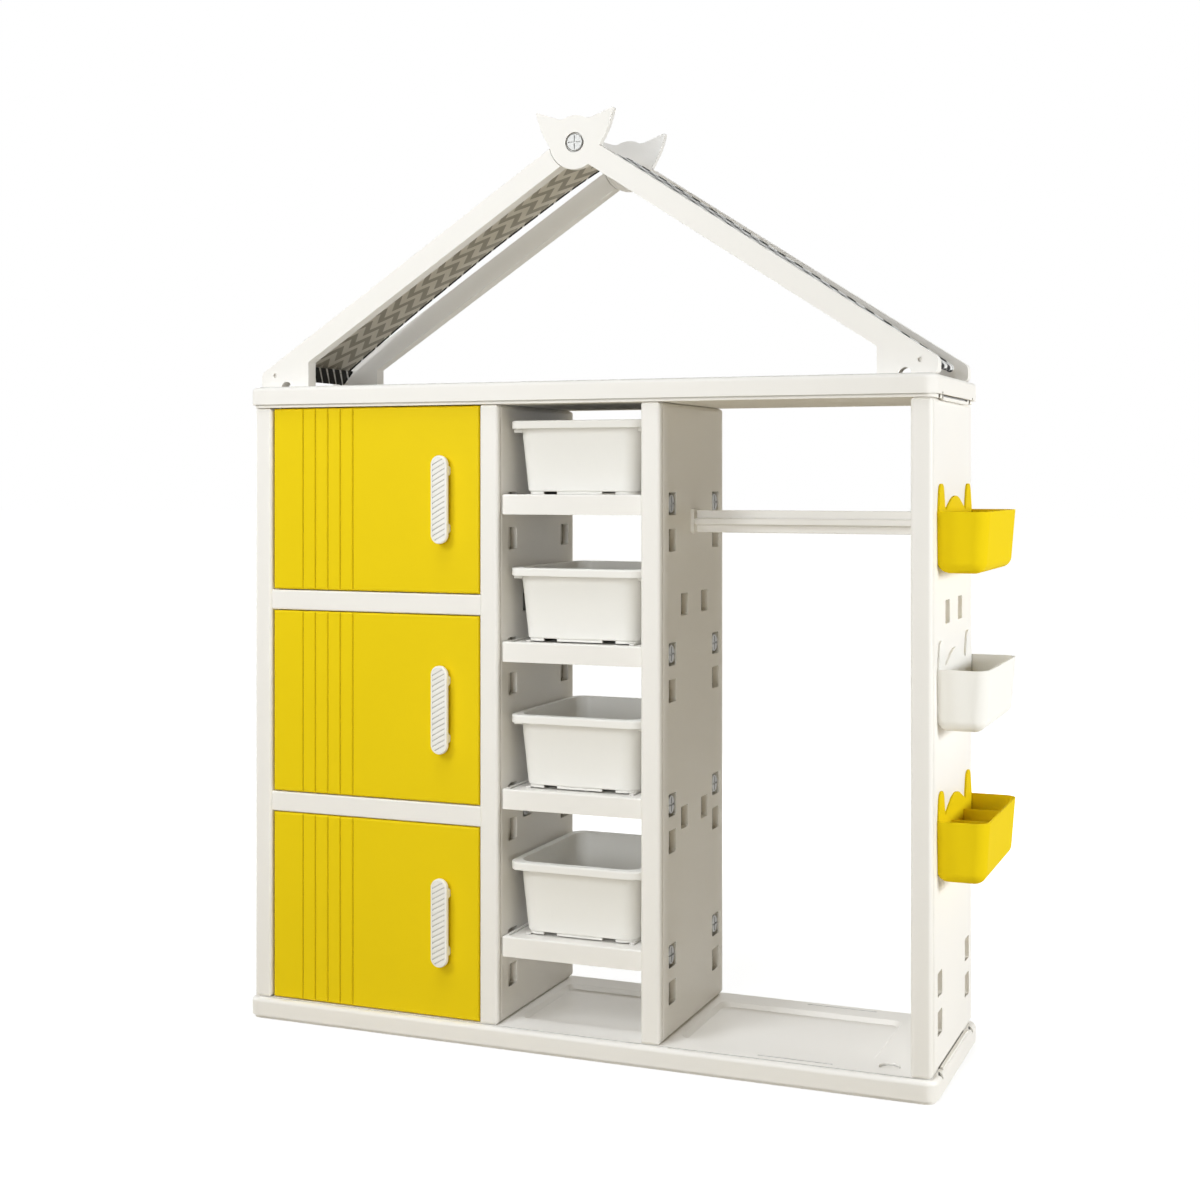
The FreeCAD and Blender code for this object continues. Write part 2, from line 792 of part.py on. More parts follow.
def hinge_pins(z_low, z_high):
    length = pin_in + door_gap_top + pin_up
    return [rod(V(hinge_x, hinge_y, z_low - pin_in), V(0, 0, 1), pin_r, length),
            rod(V(hinge_x, hinge_y, z_high + pin_in), V(0, 0, -1), pin_r, length)]


# A plain block of the bin's plan, inset from the rim or the bottom by g
def bin_block(w, l, r, g, z0, z1):
    return prism(rect(-w / 2 + g, w / 2 - g, bin_mid_y - l / 2 + g, bin_mid_y + l / 2 - g, r - g), on_xy, z0, z1)


# A tapered bin: walls, floor, foot ring with two front notches, turned-down rim with deeper side grips
def bin_tub(level):
    z0 = level + shelf_rise + stand_fit
    z1 = z0 + bin_h
    zf = z0 + bin_foot_h
    t = bin_wall
    outer = tapered(bin_bot_w, bin_bot_l, bin_bot_r, bin_top_w, bin_top_l, bin_top_r, bin_mid_y, zf, z1 - over)
    outer = outer.makeFillet(bin_low_r, edges_at(outer, zf))
    flange = bin_block(bin_rim_w, bin_rim_l, bin_rim_r, 0.0, z1 - bin_rim_h, z1)
    flange = flange.makeFillet(bin_rim_edge_r, edges_at(flange, z1))
    flange = flange.cut(bin_block(bin_rim_w, bin_rim_l, bin_rim_r, t, z1 - bin_rim_h - over, z1 - t))
    # Side grips: a deeper skirt along each long side, closed at both ends
    grips = []
    half_l = bin_rim_l / 2 - bin_rim_r
    x1 = bin_rim_w / 2 - bin_grip_in
    for s in (-1, 1):
        grips.append(block(s * (x1 - t), s * x1, bin_mid_y - half_l, bin_mid_y + half_l, z1 - bin_grip_h, z1 - t))
        for ya in (bin_mid_y - half_l, bin_mid_y + half_l - t):
            grips.append(block(s * (bin_top_w / 2 - bin_draft_side / 2), s * x1, ya, ya + t, z1 - bin_grip_h, z1 - t))
    foot = bin_block(bin_bot_w, bin_bot_l, bin_bot_r, bin_foot_in, z0, zf + over)
    notches = [bin_block(bin_bot_w, bin_bot_l, bin_bot_r, bin_foot_in + bin_foot_t, z0 - over, zf)]
    y0 = bin_mid_y - bin_bot_l / 2
    for s in (-1, 1):
        x = s * bin_notch_off
        notches.append(block(x - bin_notch_w / 2, x + bin_notch_w / 2, y0, y0 + bin_foot_in + bin_foot_t + over, z0 - over, zf))
    body = fuse_all([flange, outer, cut_all(foot, notches)] + grips)
    inner = tapered(bin_bot_w - 2 * t, bin_bot_l - 2 * t, bin_bot_r - t, bin_top_w - 2 * t, bin_top_l - 2 * t,
                    bin_top_r - t, bin_mid_y, zf + t, z1 + over)
    return body.cut(inner)


# Cross-shaped section of the hanging rail
def cross_points():
    a = hang_arm / 2.0
    b = hang_web / 2.0
    e = hang_edge_r
    quarter = [(b, b, hang_root_r), (b, a, e), (-b, a, e)]
    points = []
    for _ in range(4):
        points += quarter
        quarter = [(-v, u, r) for u, v, r in quarter]
    return [(mid_y + u, hang_z + v, r) for u, v, r in points]


def hanging_rail():
    return prism(cross_points(), on_yz, hang_left + socket_floor, hang_right - socket_floor)


def rail_socket(sign):
    face = hang_right if sign > 0 else hang_left
    s = socket_s / 2.0
    body = prism(rect(mid_y - s, mid_y + s, hang_z - s, hang_z + s, socket_r), on_yz, face, face - sign * socket_t)
    pin = rod(V(face - sign * over, mid_y, hang_z), V(sign, 0, 0), socket_pin_r, socket_pin_l + over)
    seat = face - sign * socket_floor
    return fuse_all([body, pin]).cut(prism(cross_points(), on_yz, seat, seat - sign * socket_t))


# Plan of a wall basket at one height: square against the wall, round outside
def basket_plan(rim, drop, inset):
    share = drop / basket_h
    x0 = basket_x + inset
    x1 = wall_x + basket_out - basket_draft * share - inset
    y0 = basket_y0 + basket_end_draft * share + inset
    y1 = basket_y1 - basket_end_draft * share - inset
    r = basket_r - inset
    return outline([(x0, y0, 0), (x1, y0, r), (x1, y1, r), (x0, y1, 0)], on_xy, rim - drop)


def basket_body(rim, inset, above):
    low = basket_h - inset
    solid = Part.makeLoft([basket_plan(rim, low, inset), basket_plan(rim, -above, inset)], True, True)
    return solid.makeFillet(basket_low_r - inset, edges_at(solid, rim - low))


def basket(rim):
    ya, yb = columns
    tip = rim + ear_h
    z_low = rim - basket_wall
    crest = [(basket_y0 + over, z_low, 0), (basket_y0 + over, rim, 0), (ya - ear_top, tip, ear_r), (ya + ear_top, tip, ear_r),
             (ya + ear_base, rim, valley_r), ((ya + yb) / 2, rim + hump_corner_h, hump_r), (yb - ear_base, rim, valley_r),
             (yb - ear_top, tip, ear_r), (yb + ear_top, tip, ear_r), (basket_y1 - over, rim, 0),
             (basket_y1 - over, z_low, 0)]
    ears = prism(crest, on_yz, basket_x, basket_x + basket_wall)
    shell = basket_body(rim, 0.0, 0.0).cut(basket_body(rim, basket_wall, over))
    # Sloped hooks that slide down the ramps of the nearest row of windows
    level = min(levels, key=lambda v: abs(v - rim))
    low = level - window_h / 2.0 + hook_slack * math.sqrt(2.0)
    reach = window_d - hook_tip_gap
    root = basket_x + over
    out = root - wall_x
    wedge = [(root, low + out, 0), (wall_x - reach, low - reach, 0), (wall_x - reach, low - reach + hook_t * math.sqrt(2.0), 0),
             (root, low + out + hook_t * math.sqrt(2.0), 0)]
    hooks = [prism(wedge, on_xz, y - hook_w / 2, y + hook_w / 2) for y in columns]
    return fuse_all([shell, ears] + hooks)


def dividers(rim):
    inner = basket_body(rim, basket_wall + divider_gap, over)
    made = []
    for from_front in divider_from:
        y = basket_y0 + from_front
        slab = block(x_side, wall_x + basket_out, y - divider_t / 2, y + divider_t / 2, rim - basket_h, rim - divider_drop)
        made.append(inner.common(slab).Solids[0])
    return made


# Tongue under a rafter's foot, or its pocket when grown by the clearance g
def foot_tongue(sign, y, g=0.0):
    x0 = roof_foot_in + foot_tongue_in - g
    x1 = roof_foot_in + foot_tongue_in + foot_tongue_l + g
    y0 = y + (roof_t - foot_tongue_t) / 2.0 - g
    y1 = y + (roof_t + foot_tongue_t) / 2.0 + g
    return block(sign * x0, sign * x1, y0, y1, z_roof - foot_tongue_h - g, z_roof + over)


# A rafter's bar with its foot, from the ridge down to one side
def rafter_bar(sign, y):
    half = roof_w / 2.0 / cos_s

    def edge(x, up):
        return roof_ridge_z + up * half - x * tan_s

    points = [(roof_start, edge(roof_start, 1), 0), (roof_end, edge(roof_end, 1), roof_end_r), (roof_end, z_roof, roof_toe_r),
              (roof_foot_in, z_roof, 0), (roof_foot_in, edge(roof_foot_in, -1), roof_foot_r),
              (roof_start, edge(roof_start, -1), 0)]
    points = [(sign * u, v, r) for u, v, r in points]
    body = fuse_all([prism(points, on_xz, y, y + roof_t), foot_tongue(sign, y)])
    notch = rod(V(sign * foot_notch_x, y - over, z_roof), V(0, 1, 0), foot_notch_r, roof_t + 2 * over)
    hole = rod(V(sign * eave_x, y - over, eave_z), V(0, 1, 0), eave_rod_r + bore_fit, roof_t + 2 * over)
    return cut_all(body, [notch, hole])


def ridge_disc(r, y0, y1):
    return rod(V(0, y0, roof_ridge_z), V(0, 1, 0), r, y1 - y0)


# The right rafter carries the head plate with its two pointed ears, in the front half of its thickness.
# The screw's sink is in the face that shows, so it swaps sides between the two frames
def rafter_right(y, outer_face):
    half_t = y + roof_t / 2.0
    z = roof_ridge_z
    side = [(crest_foot_x, crest_foot_z, 0), (crest_bulge_x, crest_bulge_z, crest_bulge_r),
            (crest_tip_x, crest_tip_z, crest_tip_r), (crest_valley_x, crest_valley_z, crest_valley_r)]
    mirrored = [(-u, v, r) for u, v, r in reversed(side)]
    crest = [(u, z + v, r) for u, v, r in side + [(0, crest_crown_z, crest_crown_r)] + mirrored]
    bar = rafter_bar(1, y).cut(ridge_disc(head_r + head_gap, half_t, y + roof_t + over))
    body = fuse_all([bar, ridge_disc(head_r, y, half_t), prism(crest, on_xz, y, half_t)])
    tools = [ridge_disc(ridge_screw_r + bore_fit, y - over, y + roof_t + over)]
    if outer_face < 0:
        tools.append(ridge_disc(ridge_screw_head_r + ridge_screw_ring, y - over, y + ridge_screw_head_h))
    return cut_all(body, tools)


def rafter_left(y, outer_face):
    half_t = y + roof_t / 2.0
    body = fuse_all([rafter_bar(-1, y), ridge_disc(roof_w / 2.0, half_t, y + roof_t)])
    tools = [ridge_disc(head_r + head_gap, y - over, half_t),
             ridge_disc(ridge_screw_r + bore_fit, y - over, y + roof_t + over)]
    if outer_face > 0:
        tools.append(ridge_disc(ridge_screw_head_r + pocket_fit, y + roof_t - ridge_screw_head_h, y + roof_t + over))
    return cut_all(body, tools)


def ridge_rod():
    body = rod(V(0, -rod_y, roof_ridge_z), V(0, 1, 0), ridge_rod_r, 2 * rod_y)
    bores = [rod(V(0, -s * rod_y, roof_ridge_z), V(0, s, 0), ridge_screw_r + bore_fit, ridge_screw_bite + ridge_screw_rest)
             for s in (-1, 1)]
    return cut_all(body, bores)


def ridge_screws():
    length = roof_t - ridge_screw_head_h + ridge_screw_bite
    return [screw(V(0, -s * roof_y, roof_ridge_z), V(0, s, 0), ridge_screw_r, length, ridge_screw_head_r,
                  ridge_screw_head_h, ridge_screw_recess_l, ridge_screw_recess_w) for s in (1, -1)]


def eave_rod(sign):
    half = roof_y - eave_rod_in
    return rod(V(sign * eave_x, -half, eave_z), V(0, 1, 0), eave_rod_r, 2 * half)


# The cloth over the ridge rod, down both slopes and round the eave rods, with closed hems
def roof_cloth():
    rr = ridge_rod_r + soft_fit
    re = eave_rod_r + soft_fit
    lean = math.asin((rr - re) * cos_s / eave_x)
    n = (sin_s, cos_s)
    t = (cos_s, -sin_s)
    m = (n[0] * math.cos(lean) + t[0] * math.sin(lean), n[1] * math.cos(lean) + t[1] * math.sin(lean))
    d = (m[1], -m[0])
    y0 = -rod_y + cloth_side_gap

    def at(cx, cz, r, vec):
        return (cx + r * vec[0], cz + r * vec[1])

    def turned(vec, deg):
        a = math.radians(deg)
        return (vec[0] * math.cos(a) + vec[1] * math.sin(a), -vec[0] * math.sin(a) + vec[1] * math.cos(a))

    # Tangent from the stitch line to the circle of radius r round the eave rod, on the inner side
    def stitch(r, back):
        base = at(eave_x, eave_z, re, m)
        p = (base[0] - d[0] * back, base[1] - d[1] * back)
        q = (p[0] - eave_x, p[1] - eave_z)
        dist = math.hypot(q[0], q[1])
        ang = math.degrees(math.acos(r / dist))
        u = (q[0] / dist, q[1] / dist)
        return p, turned(u, -ang)

    out_r = re + cloth_t
    p_out, v_out = stitch(out_r, hem_l + hem_seam)
    p_in, v_in = stitch(re, hem_l)
    edges = []

    def line(a, b):
        edges.append(Part.LineSegment(V(a[0], y0, a[1]), V(b[0], y0, b[1])).toShape())

    def arc(a, b, c):
        edges.append(Part.Arc(V(a[0], y0, a[1]), V(b[0], y0, b[1]), V(c[0], y0, c[1])).toShape())

    def flip(p):
        return (-p[0], p[1])

    def half_turn(v0, v1):
        a0 = math.atan2(v0[1], v0[0])
        a1 = math.atan2(v1[1], v1[0])
        while a1 > a0:
            a1 -= 2 * math.pi
        a = (a0 + a1) / 2.0
        return (math.cos(a), math.sin(a))

    ridge_o = at(0, roof_ridge_z, rr + cloth_t, m)
    ridge_i = at(0, roof_ridge_z, rr, m)
    eave_o = at(eave_x, eave_z, out_r, m)
    eave_mid = at(eave_x, eave_z, out_r, half_turn(m, v_out))
    eave_end = at(eave_x, eave_z, out_r, v_out)
    arc(flip(ridge_o), (0, roof_ridge_z + rr + cloth_t), ridge_o)
    line(ridge_o, eave_o)
    arc(eave_o, eave_mid, eave_end)
    line(eave_end, p_out)
    line(p_out, ridge_i)
    arc(ridge_i, (0, roof_ridge_z + rr), flip(ridge_i))
    line(flip(ridge_i), flip(p_out))
    line(flip(p_out), flip(eave_end))
    arc(flip(eave_end), flip(eave_mid), flip(eave_o))
    line(flip(eave_o), flip(ridge_o))
    body = Part.Face(Part.Wire(edges)).extrude(V(0, -2 * y0, 0))
    # The tunnel in each hem
    hole_o = at(eave_x, eave_z, re, m)
    hole_mid = at(eave_x, eave_z, re, half_turn(m, v_in))
    hole_end = at(eave_x, eave_z, re, v_in)
    edges = []
    line(p_in, hole_o)
    arc(hole_o, hole_mid, hole_end)
    line(hole_end, p_in)
    tunnel = Part.Face(Part.Wire(edges)).extrude(V(0, -2 * y0, 0))
    return cut_all(body, [tunnel, tunnel.mirror(V(0, 0, 0), V(1, 0, 0))])


# Screws that hold the panels to a plate, from its far face
def plate_screws(z, axis):
    made = []
    for x in panel_xs:
        for y in tongue_ys:
            made.append(screw(V(x, y, z), V(0, 0, axis), screw_r, screw_l, screw_head_r, screw_head_h,
                              screw_recess_l, screw_recess_w))
    return made


# Build and write every node
os.makedirs("parts", exist_ok=True)

save("base_plate", base_plate())
save("top_plate", top_plate())

cup_bores = [(y, z, bolt_r) for y, z in cup_bolt_places]
bin_bores = [(y, z, bolt_r) for y, z in bin_bolt_places]
rail_bore = [(mid_y, hang_z, socket_pin_r)]
save("left_side_panel", panel(-x_side, cup_bores))
save("left_partition", panel(-x_part, cup_bores + bin_bores))
save("right_partition", panel(x_part, bin_bores + rail_bore))
save("right_side_panel", panel(x_side, rail_bore))

save("cupboard_shelf_lower", cupboard_shelf(*rails[0]))
save("cupboard_shelf_upper", cupboard_shelf(*rails[1]))
save("cupboard_back", cupboard_back())
save("bolts_left_side", bolts(-x_side, -1, cup_bolt_places))
save("bolts_left_partition_in", bolts(-x_part, 1, cup_bolt_places))
save("bolts_left_partition_out", bolts(-x_part, -1, bin_bolt_places))
save("bolts_right_partition", bolts(x_part, 1, bin_bolt_places))
save("screws_base", plate_screws(screw_sink, 1))
save("screws_top", plate_screws(z_roof - screw_sink, -1))

for name, bay in zip(("lower", "middle", "upper"), door_bays):
    save("door_" + name, door(*bay))
    save("handle_" + name, handle(*bay))
    save("handle_screws_" + name, handle_screws(*bay))
    save("hinge_pins_" + name, hinge_pins(*bay))

for k, z in enumerate(reversed(levels)):
    save("bin_shelf_%d" % (k + 1), bin_shelf(z))
    save("bin_%d" % (k + 1), bin_tub(z))

save("hanging_rail", hanging_rail())
save("rail_socket_left", rail_socket(-1))
save("rail_socket_right", rail_socket(1))

for name, z in zip(("upper", "middle", "lower"), basket_rims):
    save("basket_" + name, basket(z))
save("basket_dividers", dividers(basket_rims[2]))

for name, y, outer_face in (("front", -roof_y, -1), ("rear", rod_y, 1)):
    save("rafter_%s_left" % name, rafter_left(y, outer_face))
    save("rafter_%s_right" % name, rafter_right(y, outer_face))
save("ridge_rod", ridge_rod())
save("ridge_screws", ridge_screws())
save("eave_rod_left", eave_rod(-1))
save("eave_rod_right", eave_rod(1))
save("roof_cloth", roof_cloth())
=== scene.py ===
import math

import bmesh
import bpy
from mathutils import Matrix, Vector


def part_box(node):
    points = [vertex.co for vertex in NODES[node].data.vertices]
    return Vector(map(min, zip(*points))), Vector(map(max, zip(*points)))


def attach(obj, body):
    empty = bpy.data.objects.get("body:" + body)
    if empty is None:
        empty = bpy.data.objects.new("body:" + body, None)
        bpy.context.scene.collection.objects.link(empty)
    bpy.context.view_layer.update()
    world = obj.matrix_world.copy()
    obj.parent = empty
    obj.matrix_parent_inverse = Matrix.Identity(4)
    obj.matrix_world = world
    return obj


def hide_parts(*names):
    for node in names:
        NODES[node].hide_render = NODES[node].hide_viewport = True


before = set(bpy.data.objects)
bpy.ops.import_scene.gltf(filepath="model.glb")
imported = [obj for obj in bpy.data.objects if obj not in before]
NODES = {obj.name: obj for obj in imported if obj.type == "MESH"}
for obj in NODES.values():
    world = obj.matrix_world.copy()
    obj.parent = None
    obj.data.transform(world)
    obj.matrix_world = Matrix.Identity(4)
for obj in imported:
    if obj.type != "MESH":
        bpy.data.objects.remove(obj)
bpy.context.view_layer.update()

bl_info = {
    "name": "Costume Closet",
    "version": (1, 0, 0),
    "blender": (4, 5, 0),
    "location": "3D View > Sidebar > Closet",
    "description": "Dresses a house-shaped costume closet: plastics, steel, roof cloth and studio",
    "category": "Object",
}

MM = 0.001

DOORS = ("lower", "middle", "upper")
BINS = ("1", "2", "3", "4")

# How the names of the ivory and the steel nodes begin
IVORY_STARTS = ("base", "top", "left_", "right_", "cupboard", "bin_shelf", "hanging", "rail_", "rafter",
                "ridge_rod", "eave")
STEEL_STARTS = ("bolts", "screws", "ridge_screws", "handle_screws", "hinge_pins")

# Steps along half of the roof cloth: over the ridge, down the slope, round the eave rod and back up the hem
RIDGE_STEPS = 6
SLOPE_STEPS = 48
EAVE_STEPS = 14
HEM_STEPS = 8

# Steps that show the turned ply: the hem and half of the way round the rod
PLY_STEPS = HEM_STEPS + EAVE_STEPS // 2

# Rows of a rolled cloth edge: share of its width, from the cloth's end, and share of its full lift
ROLL_SHAPE = ((0.0, 0.35), (0.16, 0.8), (0.5, 1.0), (0.84, 0.8))
ROLL_ROWS = len(ROLL_SHAPE)
INNER_ROWS = 40

# Material slots of the roof cloth
PRINT, LINING, ROLLED, HEM = range(4)

# Lamps: place, what the lamp points at, size in metres and power in watts
LAMPS = {
    "key": ((-1.0, -2.3, 2.1), (0.0, 0.0, 0.6), 1.0, 28.5),
    "fill": ((0.2, -3.4, 1.1), (0.0, 0.0, 0.6), 1.2, 39.0),
    "side": ((3.6, -0.05, 1.1), (0.6, 0.0, 0.6), 0.9, 84.0),
    "left": ((-3.6, 0.3, 0.9), (-0.6, 0.0, 0.6), 0.9, 36.0),
    "top": ((-0.2, -2.6, 7.0), (0.0, 0.0, 0.6), 3.4, 160.0),
    "rear": ((0.0, 2.8, 1.05), (0.0, 0.0, 0.5), 0.36, 38.0),
}
WHITE = (1.0, 1.0, 1.0, 1.0)
SENSOR_WIDTH = 36.0


# Shared helpers

def linear(colour):
    """A colour as it looks on screen, turned by the sRGB curve into the linear values that shaders use."""
    made = [c / 12.92 if c <= 0.04045 else ((c + 0.055) / 1.055) ** 2.4 for c in colour]
    return (*made, 1.0)


def plain_object(name, mesh):
    """A new object with this mesh, in the scene."""
    piece = bpy.data.objects.new(name, mesh)
    bpy.context.scene.collection.objects.link(piece)
    return piece


def dress(names, material):
    """Gives CAD nodes a material, in the slots that they came with."""
    for name in names:
        for slot in NODES[name].material_slots:
            slot.material = material


def smooth(mesh, angle=40.0):
    """Smooth shading, with edges sharp from this angle in degrees."""
    mesh.shade_smooth()
    mesh.set_sharp_from_angle(angle=math.radians(angle))


# Node trees written as expressions

class Sock:
    """One output socket of a node tree. Arithmetic on it adds Math nodes."""

    def __init__(self, tree, socket):
        self.tree = tree
        self.socket = socket

    def math(self, operation, *values):
        return self.tree.add("ShaderNodeMath", {"operation": operation}, dict(enumerate(values)))

    def __add__(self, other):
        return self.math("ADD", self, other)

    def __radd__(self, other):
        return self.math("ADD", other, self)

    def __sub__(self, other):
        return self.math("SUBTRACT", self, other)

    def __rsub__(self, other):
        return self.math("SUBTRACT", other, self)

    def __mul__(self, other):
        return self.math("MULTIPLY", self, other)

    def __truediv__(self, other):
        return self.math("DIVIDE", self, other)

    def __abs__(self):
        return self.math("ABSOLUTE", self)

    def fract(self):
        return self.math("FRACT", self)

    def sine(self):
        return self.math("SINE", self)

    def over(self, edge, soft):
        """0 below the edge, 1 above it, with a ramp of the width soft."""
        return self.tree.add("ShaderNodeMapRange", {"interpolation_type": "SMOOTHSTEP"},
                             {0: self, 1: edge - soft / 2, 2: edge + soft / 2})


class Tree:
    """A node tree under construction."""

    def __init__(self, tree):
        self.tree = tree

    def add(self, kind, settings=None, values=None, out=0):
        """One node: its type, its settings, then the values or links of its sockets."""
        node = self.tree.nodes.new(kind)
        for key, value in (settings or {}).items():
            setattr(node, key, value)
        for key, value in (values or {}).items():
            if isinstance(value, Sock):
                self.tree.links.new(value.socket, node.inputs[key])
            else:
                node.inputs[key].default_value = value
        return Sock(self, node.outputs[out])


class Finish(Tree):
    """A material, from its first coordinate to its surface."""

    def __init__(self, name):
        self.material = bpy.data.materials.new(name)
        self.material.use_nodes = True
        super().__init__(self.material.node_tree)
        self.tree.nodes.clear()

    def object_spot(self):
        return self.add("ShaderNodeTexCoord", out="Object")

    def stretched(self, spot, scale):
        return self.add("ShaderNodeMapping", None, {"Vector": spot, "Scale": scale})

    def noise(self, spot, scale, detail=2.0, rough=0.5):
        return self.add("ShaderNodeTexNoise", None,
                        {"Vector": spot, "Scale": scale, "Detail": detail, "Roughness": rough})

    def painted_crease_shade(self, reach, dark, alone):
        """Painted shade: 1 on open faces, down to 1 - dark in grooves and inner corners within this reach.

        They are those of the piece alone, or of all that is near it."""
        node = {"samples": 6, "only_local": alone}
        lit = self.add("ShaderNodeAmbientOcclusion", node, {"Distance": reach}, out="AO")
        # Ambient occlusion turned into painted shade for the base colour
        return lit.over(edge=0.5, soft=0.7) * dark + (1.0 - dark)

    def split(self, vector):
        """The X and the Y of a vector."""
        x = self.add("ShaderNodeSeparateXYZ", None, {0: vector})
        return x, Sock(self, x.socket.node.outputs[1])

    def mix(self, factor, first, second):
        return self.add("ShaderNodeMix", {"data_type": "RGBA"}, {0: factor, 6: first, 7: second}, out=2)

    def tint(self, colour, level):
        return self.add("ShaderNodeVectorMath", {"operation": "SCALE"}, {0: colour, "Scale": level})

    def bump(self, height, strength, distance):
        return self.add("ShaderNodeBump", None,
                        {"Height": height, "Strength": strength, "Distance": distance})

    def surface(self, **sockets):
        """Ends the material in a Principled surface. Names use _ where the socket has a space."""
        values = {key.replace("_", " "): value for key, value in sockets.items()}
        shader = self.add("ShaderNodeBsdfPrincipled", None, values)
        self.add_output(shader)
        return self.material

    def add_output(self, shader):
        end = self.tree.nodes.new("ShaderNodeOutputMaterial")
        self.tree.links.new(shader.socket, end.inputs["Surface"])


class Recipe(Tree):
    """A Geometry Nodes tree with named inputs."""

    def __init__(self, name, inputs):
        super().__init__(bpy.data.node_groups.new(name, "GeometryNodeTree"))
        sockets = self.tree.interface
        sockets.new_socket("Geometry", in_out="INPUT", socket_type="NodeSocketGeometry")
        for label, kind in inputs.items():
            sockets.new_socket(label, in_out="INPUT", socket_type=kind)
        sockets.new_socket("Geometry", in_out="OUTPUT", socket_type="NodeSocketGeometry")
        self.start = self.tree.nodes.new("NodeGroupInput")

    def get(self, label):
        return Sock(self, self.start.outputs[label])

    def end(self, geometry, material):
        real = self.add("GeometryNodeRealizeInstances", None, {"Geometry": geometry})
        painted = self.add("GeometryNodeSetMaterial", None, {"Geometry": real, "Material": material})
        last = self.tree.nodes.new("NodeGroupOutput")
        self.tree.links.new(painted.socket, last.inputs["Geometry"])

    def grow(self, name, mesh, values):
        """Runs the tree on a mesh with these input values, and returns a plain mesh object."""
        seed = plain_object(name + "_seed", mesh)
        modifier = seed.modifiers.new("recipe", "NODES")
        modifier.node_group = self.tree
        for item in self.tree.interface.items_tree:
            if item.in_out == "INPUT" and item.name in values:
                modifier[item.identifier] = values[item.name]
        graph = bpy.context.evaluated_depsgraph_get()
        made = bpy.data.meshes.new_from_object(seed.evaluated_get(graph))
        bpy.data.objects.remove(seed)
        return plain_object(name, made)


# Settings that a user would change

def colour_prop(name, description, default):
    shown = tuple(c / 255.0 for c in default)
    return bpy.props.FloatVectorProperty(name=name, description=description, default=shown, size=3,
                                         min=0.0, max=1.0, subtype="COLOR_GAMMA")


def length_prop(name, description, default_mm):
    return bpy.props.FloatProperty(name=name, description=description, default=default_mm * MM,
                                   unit="LENGTH", precision=4)


class ClosetColours(bpy.types.PropertyGroup):
    """Colours of the closet, as they look on screen."""

    ivory: colour_prop("Ivory", "Panels, plates, shelves and rafters", (244, 241, 235))
    white: colour_prop("White", "Bins, handles and the middle basket", (244, 242, 236))
    door_yellow: colour_prop("Door yellow", "Cupboard doors", (237, 207, 16))
    basket_yellow: colour_prop("Basket yellow", "Upper and lower wall baskets", (237, 207, 24))
    steel: colour_prop("Steel", "Bolts, screws and pins", (160, 159, 155))
    print_dark: colour_prop("Print dark", "Dark bands on the cloth's outer face", (22, 22, 24))
    print_light: colour_prop("Print light", "Light bands on the cloth's outer face", (232, 232, 230))
    lining_dark: colour_prop("Lining dark", "Dark bands on the cloth's inner face", (176, 171, 160))
    lining_light: colour_prop("Lining light", "Light bands on the cloth's inner face", (234, 230, 220))


class ClothSizes(bpy.types.PropertyGroup):
    """Sizes of the roof cloth and its chevron print."""

    thickness: length_prop("Thickness", "Cloth thickness", 0.8)
    rod_gap: length_prop("Rod gap", "Room between a rod and the cloth", 0.4)
    hem: length_prop("Hem", "Length of the ply turned round each eave rod", 30.0)
    front_gap: length_prop("Front gap", "Light gap between the cloth's edge and the front rafters", 8.0)
    rear_gap: length_prop("Rear gap", "Light gap between the cloth's edge and the rear rafters", 12.0)
    roll: length_prop("Edge roll", "Width of the rolled front and rear edges", 5.0)
    roll_lift: length_prop("Edge lift", "How far a rolled edge stands out on each face", 1.7)
    bow_right: length_prop("Bow right", "How far the stiff cloth bows out on the right slope", 4.0)
    bow_left: length_prop("Bow left", "How far the stiff cloth bows out on the left slope", 17.0)
    band_pitch: length_prop("Band pitch", "Distance between like bands, along the slope", 36.5)
    zigzag: length_prop("Zigzag", "Width of one zigzag, across the cloth", 48.0)
    zigzag_depth: length_prop("Zigzag depth", "Height of one zigzag, along the slope", 25.0)
    stitch: length_prop("Stitch", "Length of one stitch", 2.6)


class GripSizes(bpy.types.PropertyGroup):
    """Sizes of the ribs on the door handles."""

    pitch: length_prop("Pitch", "Distance between ribs, along the handle", 9.1)
    groove: length_prop("Groove", "Width of the groove between two ribs", 1.7)
    height: length_prop("Height", "Height of a rib", 1.3)
    round: length_prop("Round", "Radius of a rib's long edges", 0.45)
    rim: length_prop("Rim", "Plain rim round the ribbed face", 3.6)
    recess: length_prop("Recess", "Depth of the ribbed face", 1.6)
    tilt: bpy.props.FloatProperty(name="Tilt", description="Rise of the ribs to the right",
                                  default=math.radians(29.0), subtype="ANGLE")


class StudioSettings(bpy.types.PropertyGroup):
    """Camera and light."""

    azimuth: bpy.props.FloatProperty(name="Azimuth", description="Camera's turn to the right of the front",
                                     default=math.radians(22.024), subtype="ANGLE")
    lens: bpy.props.FloatProperty(name="Lens", description="Focal length on a 36 mm sensor", default=53.85,
                                  unit="CAMERA")
    eye: bpy.props.FloatVectorProperty(name="Eye", description="Camera position", size=3, unit="LENGTH",
                                       default=(1.1372, -2.8336, 0.9356))
    rise: bpy.props.FloatProperty(name="Rise", description="Vertical lens shift, in image heights",
                                  default=-0.101)
    ambient: bpy.props.FloatProperty(name="Ambient", description="Even light from all round", default=0.085,
                                     min=0.0)
    ambient_colour: colour_prop("Ambient colour", "Colour of the even light", (255, 216, 95))
    lamp_colour: colour_prop("Lamp colour", "Colour of the lamps", (243, 248, 255))


# Materials

